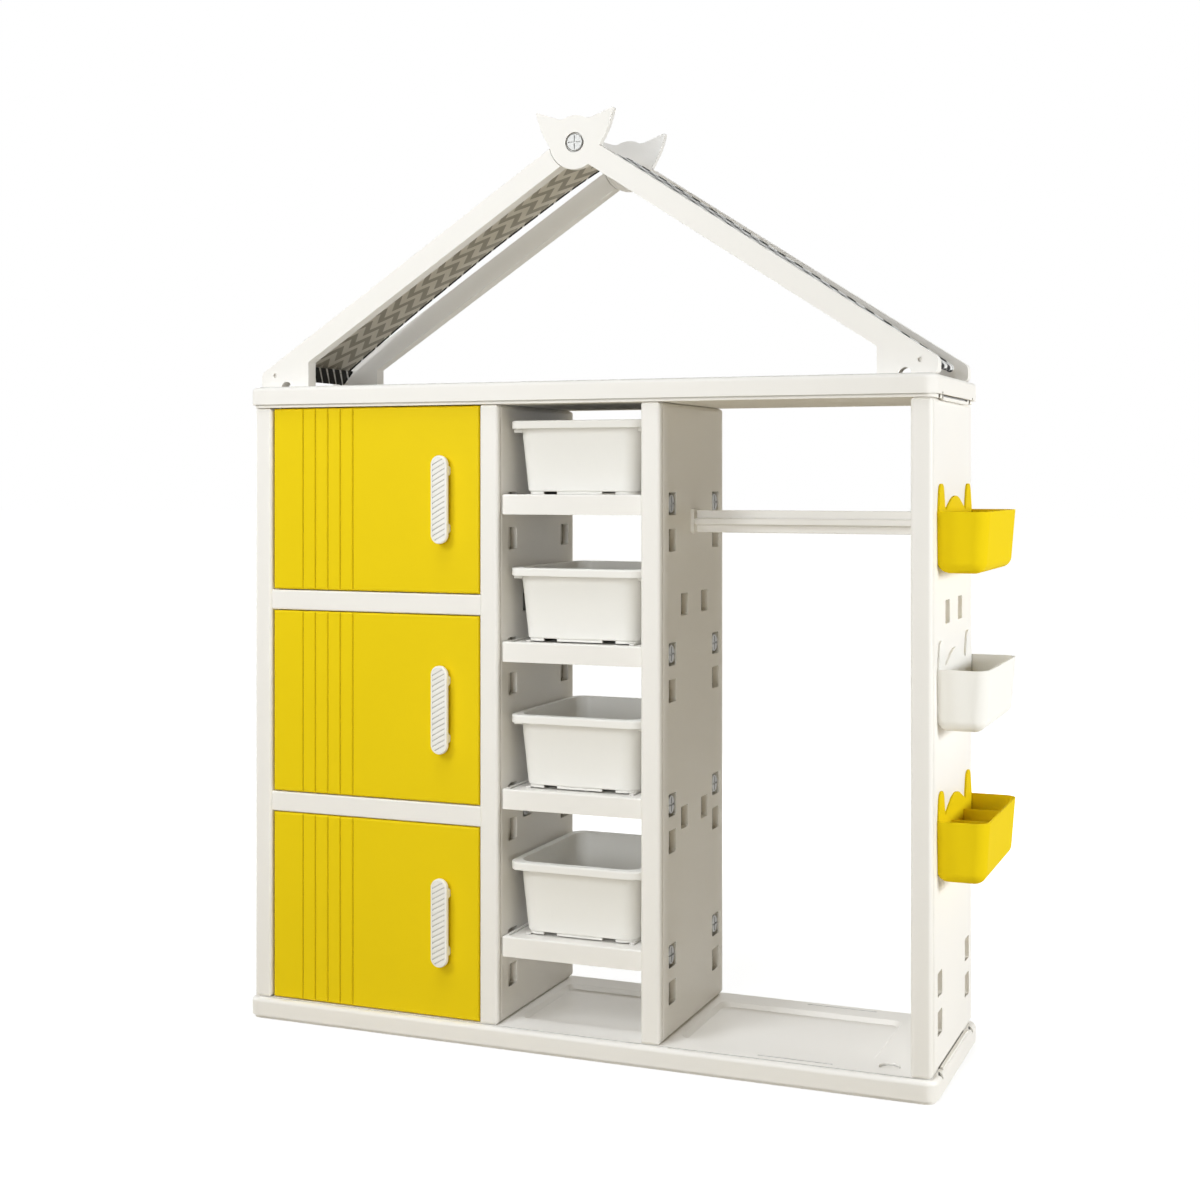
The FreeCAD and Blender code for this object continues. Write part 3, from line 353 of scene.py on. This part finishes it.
def moulded_plastic(name, colour, roughness, mottle=0.03, gloss=0.16, crease_shade=0.85, alone=True):
    """Moulded plastic: faint flow clouds, a fine spark-eroded grain, soft scuffs and painted shade in its
    grooves.

    mottle is how much the clouds change the colour, and the crease argument how dark the painted shade in a
    groove gets."""
    crease_shade_reach = 5.0 * MM
    scuff_dark, scuff_rough = 0.012, 0.05
    cloud_rough, grain_rough = 0.08, 0.10
    finish = Finish(name)
    spot = finish.object_spot()
    clouds = finish.noise(spot, scale=3.5, detail=3.0)
    grain = finish.noise(spot, scale=1300.0, detail=1.0)
    streaks = finish.noise(finish.stretched(spot, (40.0, 40.0, 6.0)), scale=3.0, detail=4.0, rough=0.6)
    scuffs = streaks.over(edge=0.68, soft=0.12)
    level = 1.0 + (clouds - 0.5) * mottle - scuffs * scuff_dark
    # The colour is multiplied by painted shade in grooves and inner corners
    base = finish.tint(linear(colour)[:3], level * finish.painted_crease_shade(crease_shade_reach, crease_shade, alone))
    rough = roughness + (clouds - 0.5) * cloud_rough + (grain - 0.5) * grain_rough + scuffs * scuff_rough
    normal = finish.bump(grain, strength=0.10, distance=0.15 * MM)
    return finish.surface(Base_Color=base, Roughness=rough, Normal=normal, IOR=1.49,
                          Specular_IOR_Level=gloss)


def zinc_steel(name, colour):
    """Plated fastener steel, faintly clouded, with fine marks."""
    darkest, cloud_share = 0.88, 0.2
    smoothest, mark_rough = 0.44, 0.2
    finish = Finish(name)
    spot = finish.object_spot()
    marks = finish.noise(spot, scale=900.0, detail=3.0, rough=0.7)
    clouds = finish.noise(spot, scale=60.0, detail=2.0)
    base = finish.tint(linear(colour)[:3], darkest + clouds * cloud_share)
    rough = smoothest + marks * mark_rough
    normal = finish.bump(marks, strength=0.15, distance=0.05 * MM)
    return finish.surface(Base_Color=base, Roughness=rough, Metallic=1.0, Normal=normal)


def zigzag_print(finish, sizes, uv, share):
    """1 on the dark bands of the chevron print, which take this share of its pitch, 0 on the light ones."""
    along, across = finish.split(uv)
    tips_at = 13.3 * MM
    start = 0.808
    fold = abs(((across - tips_at) / sizes.zigzag).fract() * 2.0 - 1.0)
    phase = ((along + fold * sizes.zigzag_depth) / sizes.band_pitch + start).fract()
    soft = 0.03
    return (1.0 - phase.over(share, soft)) * phase.over(soft / 2, soft)


def woven_cloth(name, sizes, dark, light, fade, share=0.5):
    """Printed plain weave. Its pattern follows the cloth's own flat coordinates.

    fade is how much the slubs change the colour, share the dark bands' part of the print's pitch."""
    thread_pitch = 1.1 * MM
    weave_share = 0.05
    roughness, slub_rough = 0.86, 0.1
    finish = Finish(name)
    uv = finish.add("ShaderNodeUVMap", {"uv_map": "flat"})
    bands = zigzag_print(finish, sizes, uv, share)
    along, across = finish.split(uv)
    thread = 2 * math.pi / thread_pitch
    weave = (along * thread).sine() * (across * thread).sine()
    slubs = finish.noise(finish.stretched(uv, (60.0, 900.0, 1.0)), scale=1.0, detail=3.0)
    level = 1.0 + weave * weave_share + (slubs - 0.5) * fade
    base = finish.tint(finish.mix(bands, linear(light), linear(dark)), level)
    rough = roughness + (slubs - 0.5) * slub_rough
    normal = finish.bump(weave, strength=0.35, distance=0.12 * MM)
    return finish.surface(Base_Color=base, Roughness=rough, Normal=normal, Specular_IOR_Level=0.25,
                          Sheen_Weight=0.15)


def sewing_thread(name, colour):
    """Twisted thread of the stitches."""
    darkest, twist_share = 0.8, 0.4
    smoothest, twist_rough = 0.6, 0.2
    finish = Finish(name)
    spot = finish.object_spot()
    twist = finish.noise(finish.stretched(spot, (900.0, 2600.0, 900.0)), scale=1.0, detail=1.0)
    base = finish.tint(linear(colour)[:3], darkest + twist * twist_share)
    rough = smoothest + twist * twist_rough
    normal = finish.bump(twist, strength=0.3, distance=0.1 * MM)
    return finish.surface(Base_Color=base, Roughness=rough, Normal=normal)


# Pieces made here

def rod_at(node):
    """Centre in X and Z, and radius, of a rod that lies along Y."""
    low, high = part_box(node)
    middle = (low + high) / 2
    return Vector((middle.x, middle.z)), (high.z - low.z) / 2


def turned(v, angle):
    """A flat vector turned counter-clockwise."""
    c, s = math.cos(angle), math.sin(angle)
    return Vector((v.x * c - v.y * s, v.x * s + v.y * c))


def cloth_line(sizes):
    """The cloth's middle line on the right side, from the ridge to the end of the hem.

    Each entry is a point in X and Z, the print side's normal and the share of the slope's bow there."""
    # The bow's shape: under 1, the first moves its peak towards the ridge and the second makes it fuller
    bow_lean, bow_fullness = 0.7, 0.6
    # How far inside the slope the hem is sewn on, in thicknesses
    hem_depth = 1.4
    ridge, ridge_r = rod_at("ridge_rod")
    eave, eave_r = rod_at("eave_rod_right")
    offset = sizes.rod_gap + sizes.thickness / 2
    ridge_r += offset
    eave_r += offset
    way = eave - ridge
    span = way.length
    way.normalize()
    lean = math.asin((ridge_r - eave_r) / span)
    out = turned(Vector((-way.y, way.x)), -lean)
    line = []
    up = Vector((0.0, 1.0))
    half = up.angle(out)
    for k in range(RIDGE_STEPS):
        n = turned(up, -half * k / RIDGE_STEPS)
        line.append((ridge + n * ridge_r, n, 0.0))
    a, b = ridge + out * ridge_r, eave + out * eave_r
    for k in range(SLOPE_STEPS + 1):
        t = k / SLOPE_STEPS
        line.append((a.lerp(b, t), out, math.sin(math.pi * t ** bow_lean) ** bow_fullness))
    down = (b - a).normalized()
    sewn = b - down * sizes.hem - out * sizes.thickness * hem_depth
    reach = sewn - eave
    swing = math.acos(eave_r / reach.length)
    tangents = [turned(reach.normalized(), angle) for angle in (swing, -swing)]
    inner = min(tangents, key=out.dot)
    turn = (math.atan2(out.y, out.x) - math.atan2(inner.y, inner.x)) % (2 * math.pi)
    for k in range(1, EAVE_STEPS + 1):
        n = turned(out, -turn * k / EAVE_STEPS)
        line.append((eave + n * eave_r, n, 0.0))
    leave = eave + inner * eave_r
    for k in range(1, HEM_STEPS + 1):
        line.append((leave.lerp(sewn, k / HEM_STEPS), inner, 0.0))
    return line


def whole_line(sizes):
    """The cloth's middle line from the left hem to the right one, with each bow in metres.

    Also how far each point lies from the ridge, along the cloth."""
    right = cloth_line(sizes)
    left = [(Vector((-p.x, p.y)), Vector((-n.x, n.y)), s * sizes.bow_left)
            for p, n, s in reversed(right[1:])]
    line = left + [(p, n, s * sizes.bow_right) for p, n, s in right]
    walked = [0.0]
    for (p, _, _), (q, _, _) in zip(line, line[1:]):
        walked.append(walked[-1] + (q - p).length)
    ridge_at = walked[len(left)]
    return line, [w - ridge_at for w in walked]


def cloth_rows(sizes):
    """Rows across the cloth, front to rear: each row's Y, and how far its faces lie off the middle line."""
    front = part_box("rafter_front_left")[1].y + sizes.front_gap
    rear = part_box("rafter_rear_left")[0].y - sizes.rear_gap
    first, last = front + sizes.roll, rear - sizes.roll
    half = sizes.thickness / 2
    roll = [(share * sizes.roll, sizes.roll_lift * up) for share, up in ROLL_SHAPE]
    rows = [(front + into, lift) for into, lift in roll]
    rows.append((first, half))
    rows += [(first + (last - first) * k / INNER_ROWS, half) for k in range(1, INNER_ROWS)]
    rows.append((last, half))
    rows += [(rear - into, lift) for into, lift in reversed(roll)]
    return rows


def ripple(w, y):
    """A slow wave over the cloth, from -1 to 1."""
    along, slant, across, start = 31.0, 47.0, 61.0, 1.0
    return math.sin(w * along + y * slant) * math.sin(y * across + start)


def cloth_mesh(sizes, materials):
    """One closed thin sheet: print side out, lining side in, rolled front and rear edges."""
    ripple_share = 0.035
    line, walked = whole_line(sizes)
    rows = cloth_rows(sizes)
    mesh = bmesh.new()
    flat = mesh.loops.layers.uv.new("flat")
    where = {}
    sides = []
    for sign in (1, -1):
        grid = []
        for y, lift in rows:
            verts = []
            for (p, n, s), w in zip(line, walked):
                at = p + n * (sign * lift + s + ripple_share * s * ripple(w, y))
                vert = mesh.verts.new((at.x, y, at.y))
                where[vert] = (w, y)
                verts.append(vert)
            grid.append(verts)
        sides.append(grid)
    # The ply turned round each eave rod is cut along the tips of the print, so dark shows with light strips
    ply_start = walked[-1 - PLY_STEPS]
    ply_spot = sizes.band_pitch * 0.31
    ply_squeeze = 9.0
    ply_shear = 1.4
    ply_repeat = 2.0

    def face(corners, slot):
        f = mesh.faces.new(corners)
        f.material_index = slot
        f.smooth = True
        for loop in f.loops:
            w, y = where[loop.vert]
            if slot == HEM:
                past = abs(w) - ply_start
                across = y - math.copysign(past * ply_shear, w)
                loop[flat].uv = (ply_spot + past / ply_squeeze, across * ply_repeat)
            else:
                loop[flat].uv = (w, y)

    outer, inner = sides
    last_row, last_point = len(rows) - 1, len(line) - 1
    for k in range(last_row):
        lined = ROLLED if min(k, last_row - 1 - k) < ROLL_ROWS else LINING
        for i in range(last_point):
            shown = HEM if min(i, last_point - 1 - i) < PLY_STEPS else PRINT
            face((outer[k][i], outer[k][i + 1], outer[k + 1][i + 1], outer[k + 1][i]), shown)
            face((inner[k][i], inner[k + 1][i], inner[k + 1][i + 1], inner[k][i + 1]), lined)
        for i, step in ((0, 1), (last_point, -1)):
            ring = (outer[k][i], outer[k + 1][i], inner[k + 1][i], inner[k][i])
            face(ring[::step], HEM)
    for k, step in ((0, -1), (last_row, 1)):
        for i in range(last_point):
            ring = (outer[k][i], outer[k][i + 1], inner[k][i + 1], inner[k][i])
            face(ring[::step], ROLLED)
    bmesh.ops.recalc_face_normals(mesh, faces=mesh.faces)
    sheet = bpy.data.meshes.new("roof_cloth_sheet")
    mesh.to_mesh(sheet)
    mesh.free()
    for material in materials:
        sheet.materials.append(material)
    flat_size = (walked[-1] - walked[0], rows[-1][0] - rows[0][0])
    return sheet, flat_size, (line, rows)


def stitch_recipe(material):
    """Short stitches laid in a row along every edge line of the seed mesh."""
    recipe = Recipe("thread_stitches", {"Pitch": "NodeSocketFloat", "Length": "NodeSocketFloat",
                                        "Radius": "NodeSocketFloat"})
    curve = recipe.add("GeometryNodeMeshToCurve", None, {"Mesh": recipe.get("Geometry")})
    spaced = recipe.add("GeometryNodeResampleCurve", {"mode": "LENGTH"},
                        {"Curve": curve, "Length": recipe.get("Pitch")})
    bead = recipe.add("GeometryNodeMeshUVSphere", None, {"Segments": 6, "Rings": 4, "Radius": 1.0})
    size = recipe.add("ShaderNodeCombineXYZ", None,
                      {0: recipe.get("Radius"), 1: recipe.get("Radius"), 2: recipe.get("Length") * 0.5})
    tangent = recipe.add("GeometryNodeInputTangent")
    aim = recipe.add("FunctionNodeAlignRotationToVector", {"axis": "Z"}, {"Vector": tangent})
    laid = recipe.add("GeometryNodeInstanceOnPoints", None,
                      {"Points": spaced, "Instance": bead, "Rotation": aim, "Scale": size})
    recipe.end(laid, material)
    return recipe


def stitch_lines(sizes, shape):
    """Edge lines for the stitches: along both rolled edges on each face, and across both hems."""
    line, rows = shape
    across = [y for y, _ in rows]
    proud = 0.1 * MM
    lift = sizes.thickness / 2 + proud
    inset = sizes.roll * 1.25
    hem_seam = 2
    mesh = bmesh.new()

    def run(points):
        verts = [mesh.verts.new(p) for p in points]
        for a, b in zip(verts, verts[1:]):
            mesh.edges.new((a, b))

    for y in (across[0] + inset, across[-1] - inset):
        for sign in (1, -1):
            edge = [p + n * (sign * lift + s) for p, n, s in line[HEM_STEPS:-HEM_STEPS]]
            run([(at.x, y, at.y) for at in edge])
    for p, n, _ in (line[hem_seam], line[-1 - hem_seam]):
        at = p + n * lift
        run([(at.x, y, at.y) for y in (across[ROLL_ROWS], across[-1 - ROLL_ROWS])])
    made = bpy.data.meshes.new("stitch_lines")
    mesh.to_mesh(made)
    mesh.free()
    return made


def closed_prism(recipe, outline, height):
    """A closed solid on a flat curve, of this height along Z."""
    weld = 0.01 * MM
    lid = recipe.add("GeometryNodeFillCurve", None, {"Curve": outline})
    rise = recipe.add("ShaderNodeCombineXYZ", None, {2: height})
    top = recipe.add("GeometryNodeExtrudeMesh", None, {"Mesh": lid, "Offset": rise, "Individual": False})
    under = recipe.add("GeometryNodeFlipFaces", None, {"Mesh": lid})
    shut = recipe.tree.nodes.new("GeometryNodeJoinGeometry")
    for part in (under, top):
        recipe.tree.links.new(part.socket, shut.inputs[0])
    return recipe.add("GeometryNodeMergeByDistance", None,
                      {"Geometry": Sock(recipe, shut.outputs[0]), "Distance": weld})


def rounded_box(recipe, width, height, radius, steps):
    """A flat rectangle curve with round corners."""
    box = recipe.add("GeometryNodeCurvePrimitiveQuadrilateral", {"mode": "RECTANGLE"},
                     {0: width, 1: height})
    return recipe.add("GeometryNodeFilletCurve", {"mode": "POLY"},
                      {"Curve": box, "Count": steps, "Radius": radius})


def rib_recipe(material):
    """Slanted flat ribs over a face with round ends, trimmed to that face."""
    # Just under half of the width, so that the two arcs of a round end don't meet in a point
    end_round = 0.499
    recipe = Recipe("grip_ribs", {
        "Centre": "NodeSocketVector", "Width": "NodeSocketFloat", "Length": "NodeSocketFloat",
        "Height": "NodeSocketFloat", "Count": "NodeSocketInt", "Pitch": "NodeSocketFloat",
        "Rib": "NodeSocketFloat", "Round": "NodeSocketFloat", "Tilt": "NodeSocketFloat"})
    pitch = recipe.get("Pitch")
    first = (recipe.get("Count") - 1) * pitch * -0.5
    start = recipe.add("ShaderNodeCombineXYZ", None, {2: first})
    step = recipe.add("ShaderNodeCombineXYZ", None, {2: pitch})
    places = recipe.add("GeometryNodeMeshLine", None,
                        {"Count": recipe.get("Count"), "Start Location": start, "Offset": step})
    reach = recipe.get("Width") * 2.0
    section = rounded_box(recipe, recipe.get("Rib"), recipe.get("Height") * 2.0, recipe.get("Round"),
                          steps=3)
    shift = recipe.add("ShaderNodeCombineXYZ", None, {2: reach * -0.5})
    bar = recipe.add("GeometryNodeTransform", None,
                     {"Geometry": closed_prism(recipe, section, reach), "Translation": shift})
    lean = recipe.get("Tilt") * -1.0 + math.pi / 2
    turn = recipe.add("ShaderNodeCombineXYZ", None, {1: lean})
    laid = recipe.add("GeometryNodeInstanceOnPoints", None,
                      {"Points": places, "Instance": bar, "Rotation": turn})
    bars = recipe.add("GeometryNodeRealizeInstances", None, {"Geometry": laid})
    oval = rounded_box(recipe, recipe.get("Width"), recipe.get("Length"), recipe.get("Width") * end_round,
                       steps=8)
    shut = closed_prism(recipe, oval, recipe.get("Height") * 2.0)
    upright = recipe.add("GeometryNodeTransform", None,
                         {"Geometry": shut, "Rotation": (math.pi / 2, 0.0, 0.0)})
    trimmed = recipe.tree.nodes.new("GeometryNodeMeshBoolean")
    trimmed.operation = "INTERSECT"
    for part in (bars, upright):
        recipe.tree.links.new(part.socket, trimmed.inputs["Mesh 2"])
    placed = recipe.add("GeometryNodeTransform", None, {
        "Geometry": Sock(recipe, trimmed.outputs[0]), "Translation": recipe.get("Centre")})
    recipe.end(placed, material)
    return recipe


# Operators

class CLOSET_OT_shell(bpy.types.Operator):
    """Ivory plastic on the plates, panels, shelves, rail and rafters"""

    bl_idname = "closet.shell"
    bl_label = "Shell and roof frame"

    def execute(self, context):
        colours = context.scene.closet_colours
        ivory = moulded_plastic("ivory_plastic", colours.ivory, roughness=0.42)
        dress([n for n in NODES if n.startswith(IVORY_STARTS)], ivory)
        matt = moulded_plastic("top_plate_ivory", colours.ivory, roughness=0.55, gloss=0.0)
        dress(["top_plate"], matt)
        return {"FINISHED"}


class CLOSET_OT_doors(bpy.types.Operator):
    """Yellow plastic on the cupboard doors"""

    bl_idname = "closet.doors"
    bl_label = "Cupboard doors"

    def execute(self, context):
        colours = context.scene.closet_colours
        # Painted shade in the door's grooves, darker than on the ivory
        yellow = moulded_plastic("door_yellow", colours.door_yellow, roughness=0.46, mottle=0.05,
                                 gloss=0.12, crease_shade=0.95)
        dress(["door_" + k for k in DOORS], yellow)
        return {"FINISHED"}


class CLOSET_OT_handles(bpy.types.Operator):
    """White plastic on the door handles, with slanted grip ribs"""

    bl_idname = "closet.handles"
    bl_label = "Door handles"

    def execute(self, context):
        sizes = context.scene.closet_grip
        colours = context.scene.closet_colours
        # Painted shade in the grip grooves and where the handle stands near the door, lighter than on the
        # ivory
        white = moulded_plastic("handle_white", colours.white, roughness=0.4, crease_shade=0.62, alone=False)
        recipe = rib_recipe(white)
        sunk = 0.05 * MM
        ribs_past_ends = 5
        for k in DOORS:
            dress(["handle_" + k], white)
            low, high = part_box("handle_" + k)
            middle = (low + high) / 2
            length = high.z - low.z - 2 * sizes.rim
            seed = bpy.data.meshes.new("grip_seed")
            ribs = recipe.grow("grip_ribs_" + k, seed, {
                "Centre": (middle.x, low.y + sizes.recess + sunk, middle.z),
                "Width": high.x - low.x - 2 * sizes.rim, "Length": length, "Height": sizes.height,
                "Count": int(length / sizes.pitch) + ribs_past_ends, "Pitch": sizes.pitch,
                "Rib": sizes.pitch * math.cos(sizes.tilt) - sizes.groove, "Round": sizes.round,
                "Tilt": sizes.tilt})
            if not ribs.data.polygons:
                raise RuntimeError("the grip ribs came out empty on handle_" + k)
            smooth(ribs.data)
            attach(ribs, "cupboard_door_" + k)
        return {"FINISHED"}


class CLOSET_OT_bins(bpy.types.Operator):
    """White plastic on the pull-out bins"""

    bl_idname = "closet.bins"
    bl_label = "Bins"

    def execute(self, context):
        white = moulded_plastic("bin_white", context.scene.closet_colours.white, roughness=0.36)
        dress(["bin_" + k for k in BINS], white)
        return {"FINISHED"}


class CLOSET_OT_baskets(bpy.types.Operator):
    """Yellow and white plastic on the wall baskets"""

    bl_idname = "closet.baskets"
    bl_label = "Wall baskets"

    def execute(self, context):
        colours = context.scene.closet_colours
        yellow = moulded_plastic("basket_yellow", colours.basket_yellow, roughness=0.5, mottle=0.04,
                                 gloss=0.005)
        white = moulded_plastic("basket_white", colours.white, roughness=0.38)
        dress(["basket_upper", "basket_lower", "basket_dividers"], yellow)
        dress(["basket_middle"], white)
        return {"FINISHED"}


class CLOSET_OT_fasteners(bpy.types.Operator):
    """Plated steel on the bolts, screws and hinge pins"""

    bl_idname = "closet.fasteners"
    bl_label = "Fasteners"

    def execute(self, context):
        steel = zinc_steel("plated_steel", context.scene.closet_colours.steel)
        dress([n for n in NODES if n.startswith(STEEL_STARTS)], steel)
        return {"FINISHED"}


class CLOSET_OT_roof_cloth(bpy.types.Operator):
    """Chevron cloth stretched over the ridge rod and hemmed round the eave rods"""

    bl_idname = "closet.roof_cloth"
    bl_label = "Roof cloth"

    def execute(self, context):
        sizes = context.scene.closet_cloth
        colours = context.scene.closet_colours
        bands = (colours.print_dark, colours.print_light)
        printed = woven_cloth("chevron_print", sizes, *bands, fade=0.25)
        lining = woven_cloth("chevron_lining", sizes, colours.lining_dark, colours.lining_light, fade=0.12)
        rolled = woven_cloth("rolled_edge", sizes, *bands, fade=0.2, share=0.88)
        hem = woven_cloth("hem_ply", sizes, *bands, fade=0.2, share=0.72)
        mesh, flat, shape = cloth_mesh(sizes, (printed, lining, rolled, hem))
        cloth = plain_object("roof_cloth_sheet", mesh)
        smooth(mesh, angle=60.0)
        thread = sewing_thread("black_thread", colours.print_dark)
        thread_radius = 0.32 * MM
        stitch_pitch = sizes.stitch * 1.35
        stitches = stitch_recipe(thread).grow("roof_cloth_stitches", stitch_lines(sizes, shape), {
            "Pitch": stitch_pitch, "Length": sizes.stitch, "Radius": thread_radius})
        smooth(stitches.data, angle=80.0)
        for piece in (cloth, stitches):
            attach(piece, "closet")
        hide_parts("roof_cloth")
        return {"FINISHED"}


class CLOSET_OT_studio(bpy.types.Operator):
    """Pale floor, soft light and the camera"""

    bl_idname = "closet.studio"
    bl_label = "Studio"

    def execute(self, context):
        settings = context.scene.closet_studio
        scene = context.scene
        scene.view_settings.view_transform = "Standard"
        self.floor()
        self.world(scene, settings)
        lamps = {name: self.lamp(name, *values, settings.lamp_colour) for name, values in LAMPS.items()}
        # Without this, the lamp's mirror image shows on the floor of the right bay
        lamps["rear"].visible_glossy = False
        lens = bpy.data.cameras.new("camera")
        lens.lens = settings.lens
        lens.sensor_width = SENSOR_WIDTH
        lens.shift_y = settings.rise
        camera = bpy.data.objects.new("camera", lens)
        camera.location = settings.eye
        camera.rotation_euler = (math.pi / 2, 0.0, settings.azimuth)
        scene.collection.objects.link(camera)
        scene.camera = camera
        return {"FINISHED"}

    def floor(self):
        """A floor that bounces warm light, and that the camera sees as white with a faint shadow."""
        size = 40.0
        below = -0.3 * MM
        bounce = (0.5, 0.445, 0.335, 1.0)
        shadow_catch = (0.32, 0.32, 0.315, 1.0)
        near_glow, far_more = 0.8, 0.2
        mesh = bpy.data.meshes.new("floor")
        corners = [(-size, -size), (size, -size), (size, size), (-size, size)]
        mesh.from_pydata([(x, y, below) for x, y in corners], [], [(0, 1, 2, 3)])
        finish = Finish("pale_floor")
        seen = self.seen(finish)
        matt = finish.add("ShaderNodeBsdfDiffuse", None, {"Color": bounce})
        shade = finish.add("ShaderNodeBsdfDiffuse", None, {"Color": shadow_catch})
        away = finish.add("ShaderNodeVectorMath", {"operation": "LENGTH"}, {0: finish.object_spot()},
                          out="Value")
        level = near_glow + away.over(edge=1.2, soft=1.4) * far_more
        glow = finish.add("ShaderNodeEmission", None, {"Color": WHITE, "Strength": level})
        white = finish.add("ShaderNodeAddShader", None, {0: shade, 1: glow})
        finish.add_output(finish.add("ShaderNodeMixShader", None, {0: seen, 1: matt, 2: white}))
        mesh.materials.append(finish.material)
        plain_object("floor", mesh)

    def seen(self, tree):
        """1 for rays that should meet a white backdrop: from the camera, off gloss or through glass."""
        path = tree.add("ShaderNodeLightPath").socket.node.outputs
        rays = [Sock(tree, path[k]) for k in ("Is Camera Ray", "Is Glossy Ray", "Is Transmission Ray")]
        kinds = rays[0] + rays[1] + rays[2]
        return kinds.math("MINIMUM", kinds, 1.0)

    def world(self, scene, settings):
        world = bpy.data.worlds.new("studio")
        world.use_nodes = True
        scene.world = world
        tree = Tree(world.node_tree)
        world.node_tree.nodes.clear()
        seen = self.seen(tree)
        even = tree.add("ShaderNodeBackground", None,
                        {"Color": linear(settings.ambient_colour), "Strength": settings.ambient})
        white = tree.add("ShaderNodeBackground", None, {"Color": WHITE, "Strength": 1.0})
        shown = tree.add("ShaderNodeMixShader", None, {0: seen, 1: even, 2: white})
        end = world.node_tree.nodes.new("ShaderNodeOutputWorld")
        world.node_tree.links.new(shown.socket, end.inputs["Surface"])

    def lamp(self, name, place, aim, size, power, colour):
        data = bpy.data.lights.new(name, "AREA")
        data.color = linear(colour)[:3]
        data.shape = "DISK"
        data.size = size
        data.energy = power
        lamp = bpy.data.objects.new(name, data)
        lamp.visible_camera = False
        lamp.location = place
        lamp.rotation_euler = (Vector(aim) - Vector(place)).to_track_quat("-Z", "Y").to_euler()
        bpy.context.scene.collection.objects.link(lamp)
        return lamp


OPERATORS = (CLOSET_OT_shell, CLOSET_OT_doors, CLOSET_OT_handles, CLOSET_OT_bins, CLOSET_OT_baskets,
             CLOSET_OT_fasteners, CLOSET_OT_roof_cloth, CLOSET_OT_studio)


class CLOSET_PT_sidebar(bpy.types.Panel):
    """Lists the closet's pieces in the sidebar"""

    bl_idname = "CLOSET_PT_sidebar"
    bl_label = "Costume Closet"
    bl_space_type = "VIEW_3D"
    bl_region_type = "UI"
    bl_category = "Closet"

    def draw(self, context):
        for kind in OPERATORS:
            self.layout.operator(kind.bl_idname)


GROUPS = {"closet_colours": ClosetColours, "closet_cloth": ClothSizes, "closet_grip": GripSizes,
          "closet_studio": StudioSettings}


def register():
    for kind in (*GROUPS.values(), *OPERATORS, CLOSET_PT_sidebar):
        bpy.utils.register_class(kind)
    for name, kind in GROUPS.items():
        setattr(bpy.types.Scene, name, bpy.props.PointerProperty(type=kind))


def unregister():
    for name in GROUPS:
        delattr(bpy.types.Scene, name)
    for kind in reversed((*GROUPS.values(), *OPERATORS, CLOSET_PT_sidebar)):
        bpy.utils.unregister_class(kind)


def main():
    register()
    for kind in OPERATORS:
        getattr(bpy.ops.closet, kind.bl_idname.split(".")[1])()


if __name__ == "__main__":
    main()
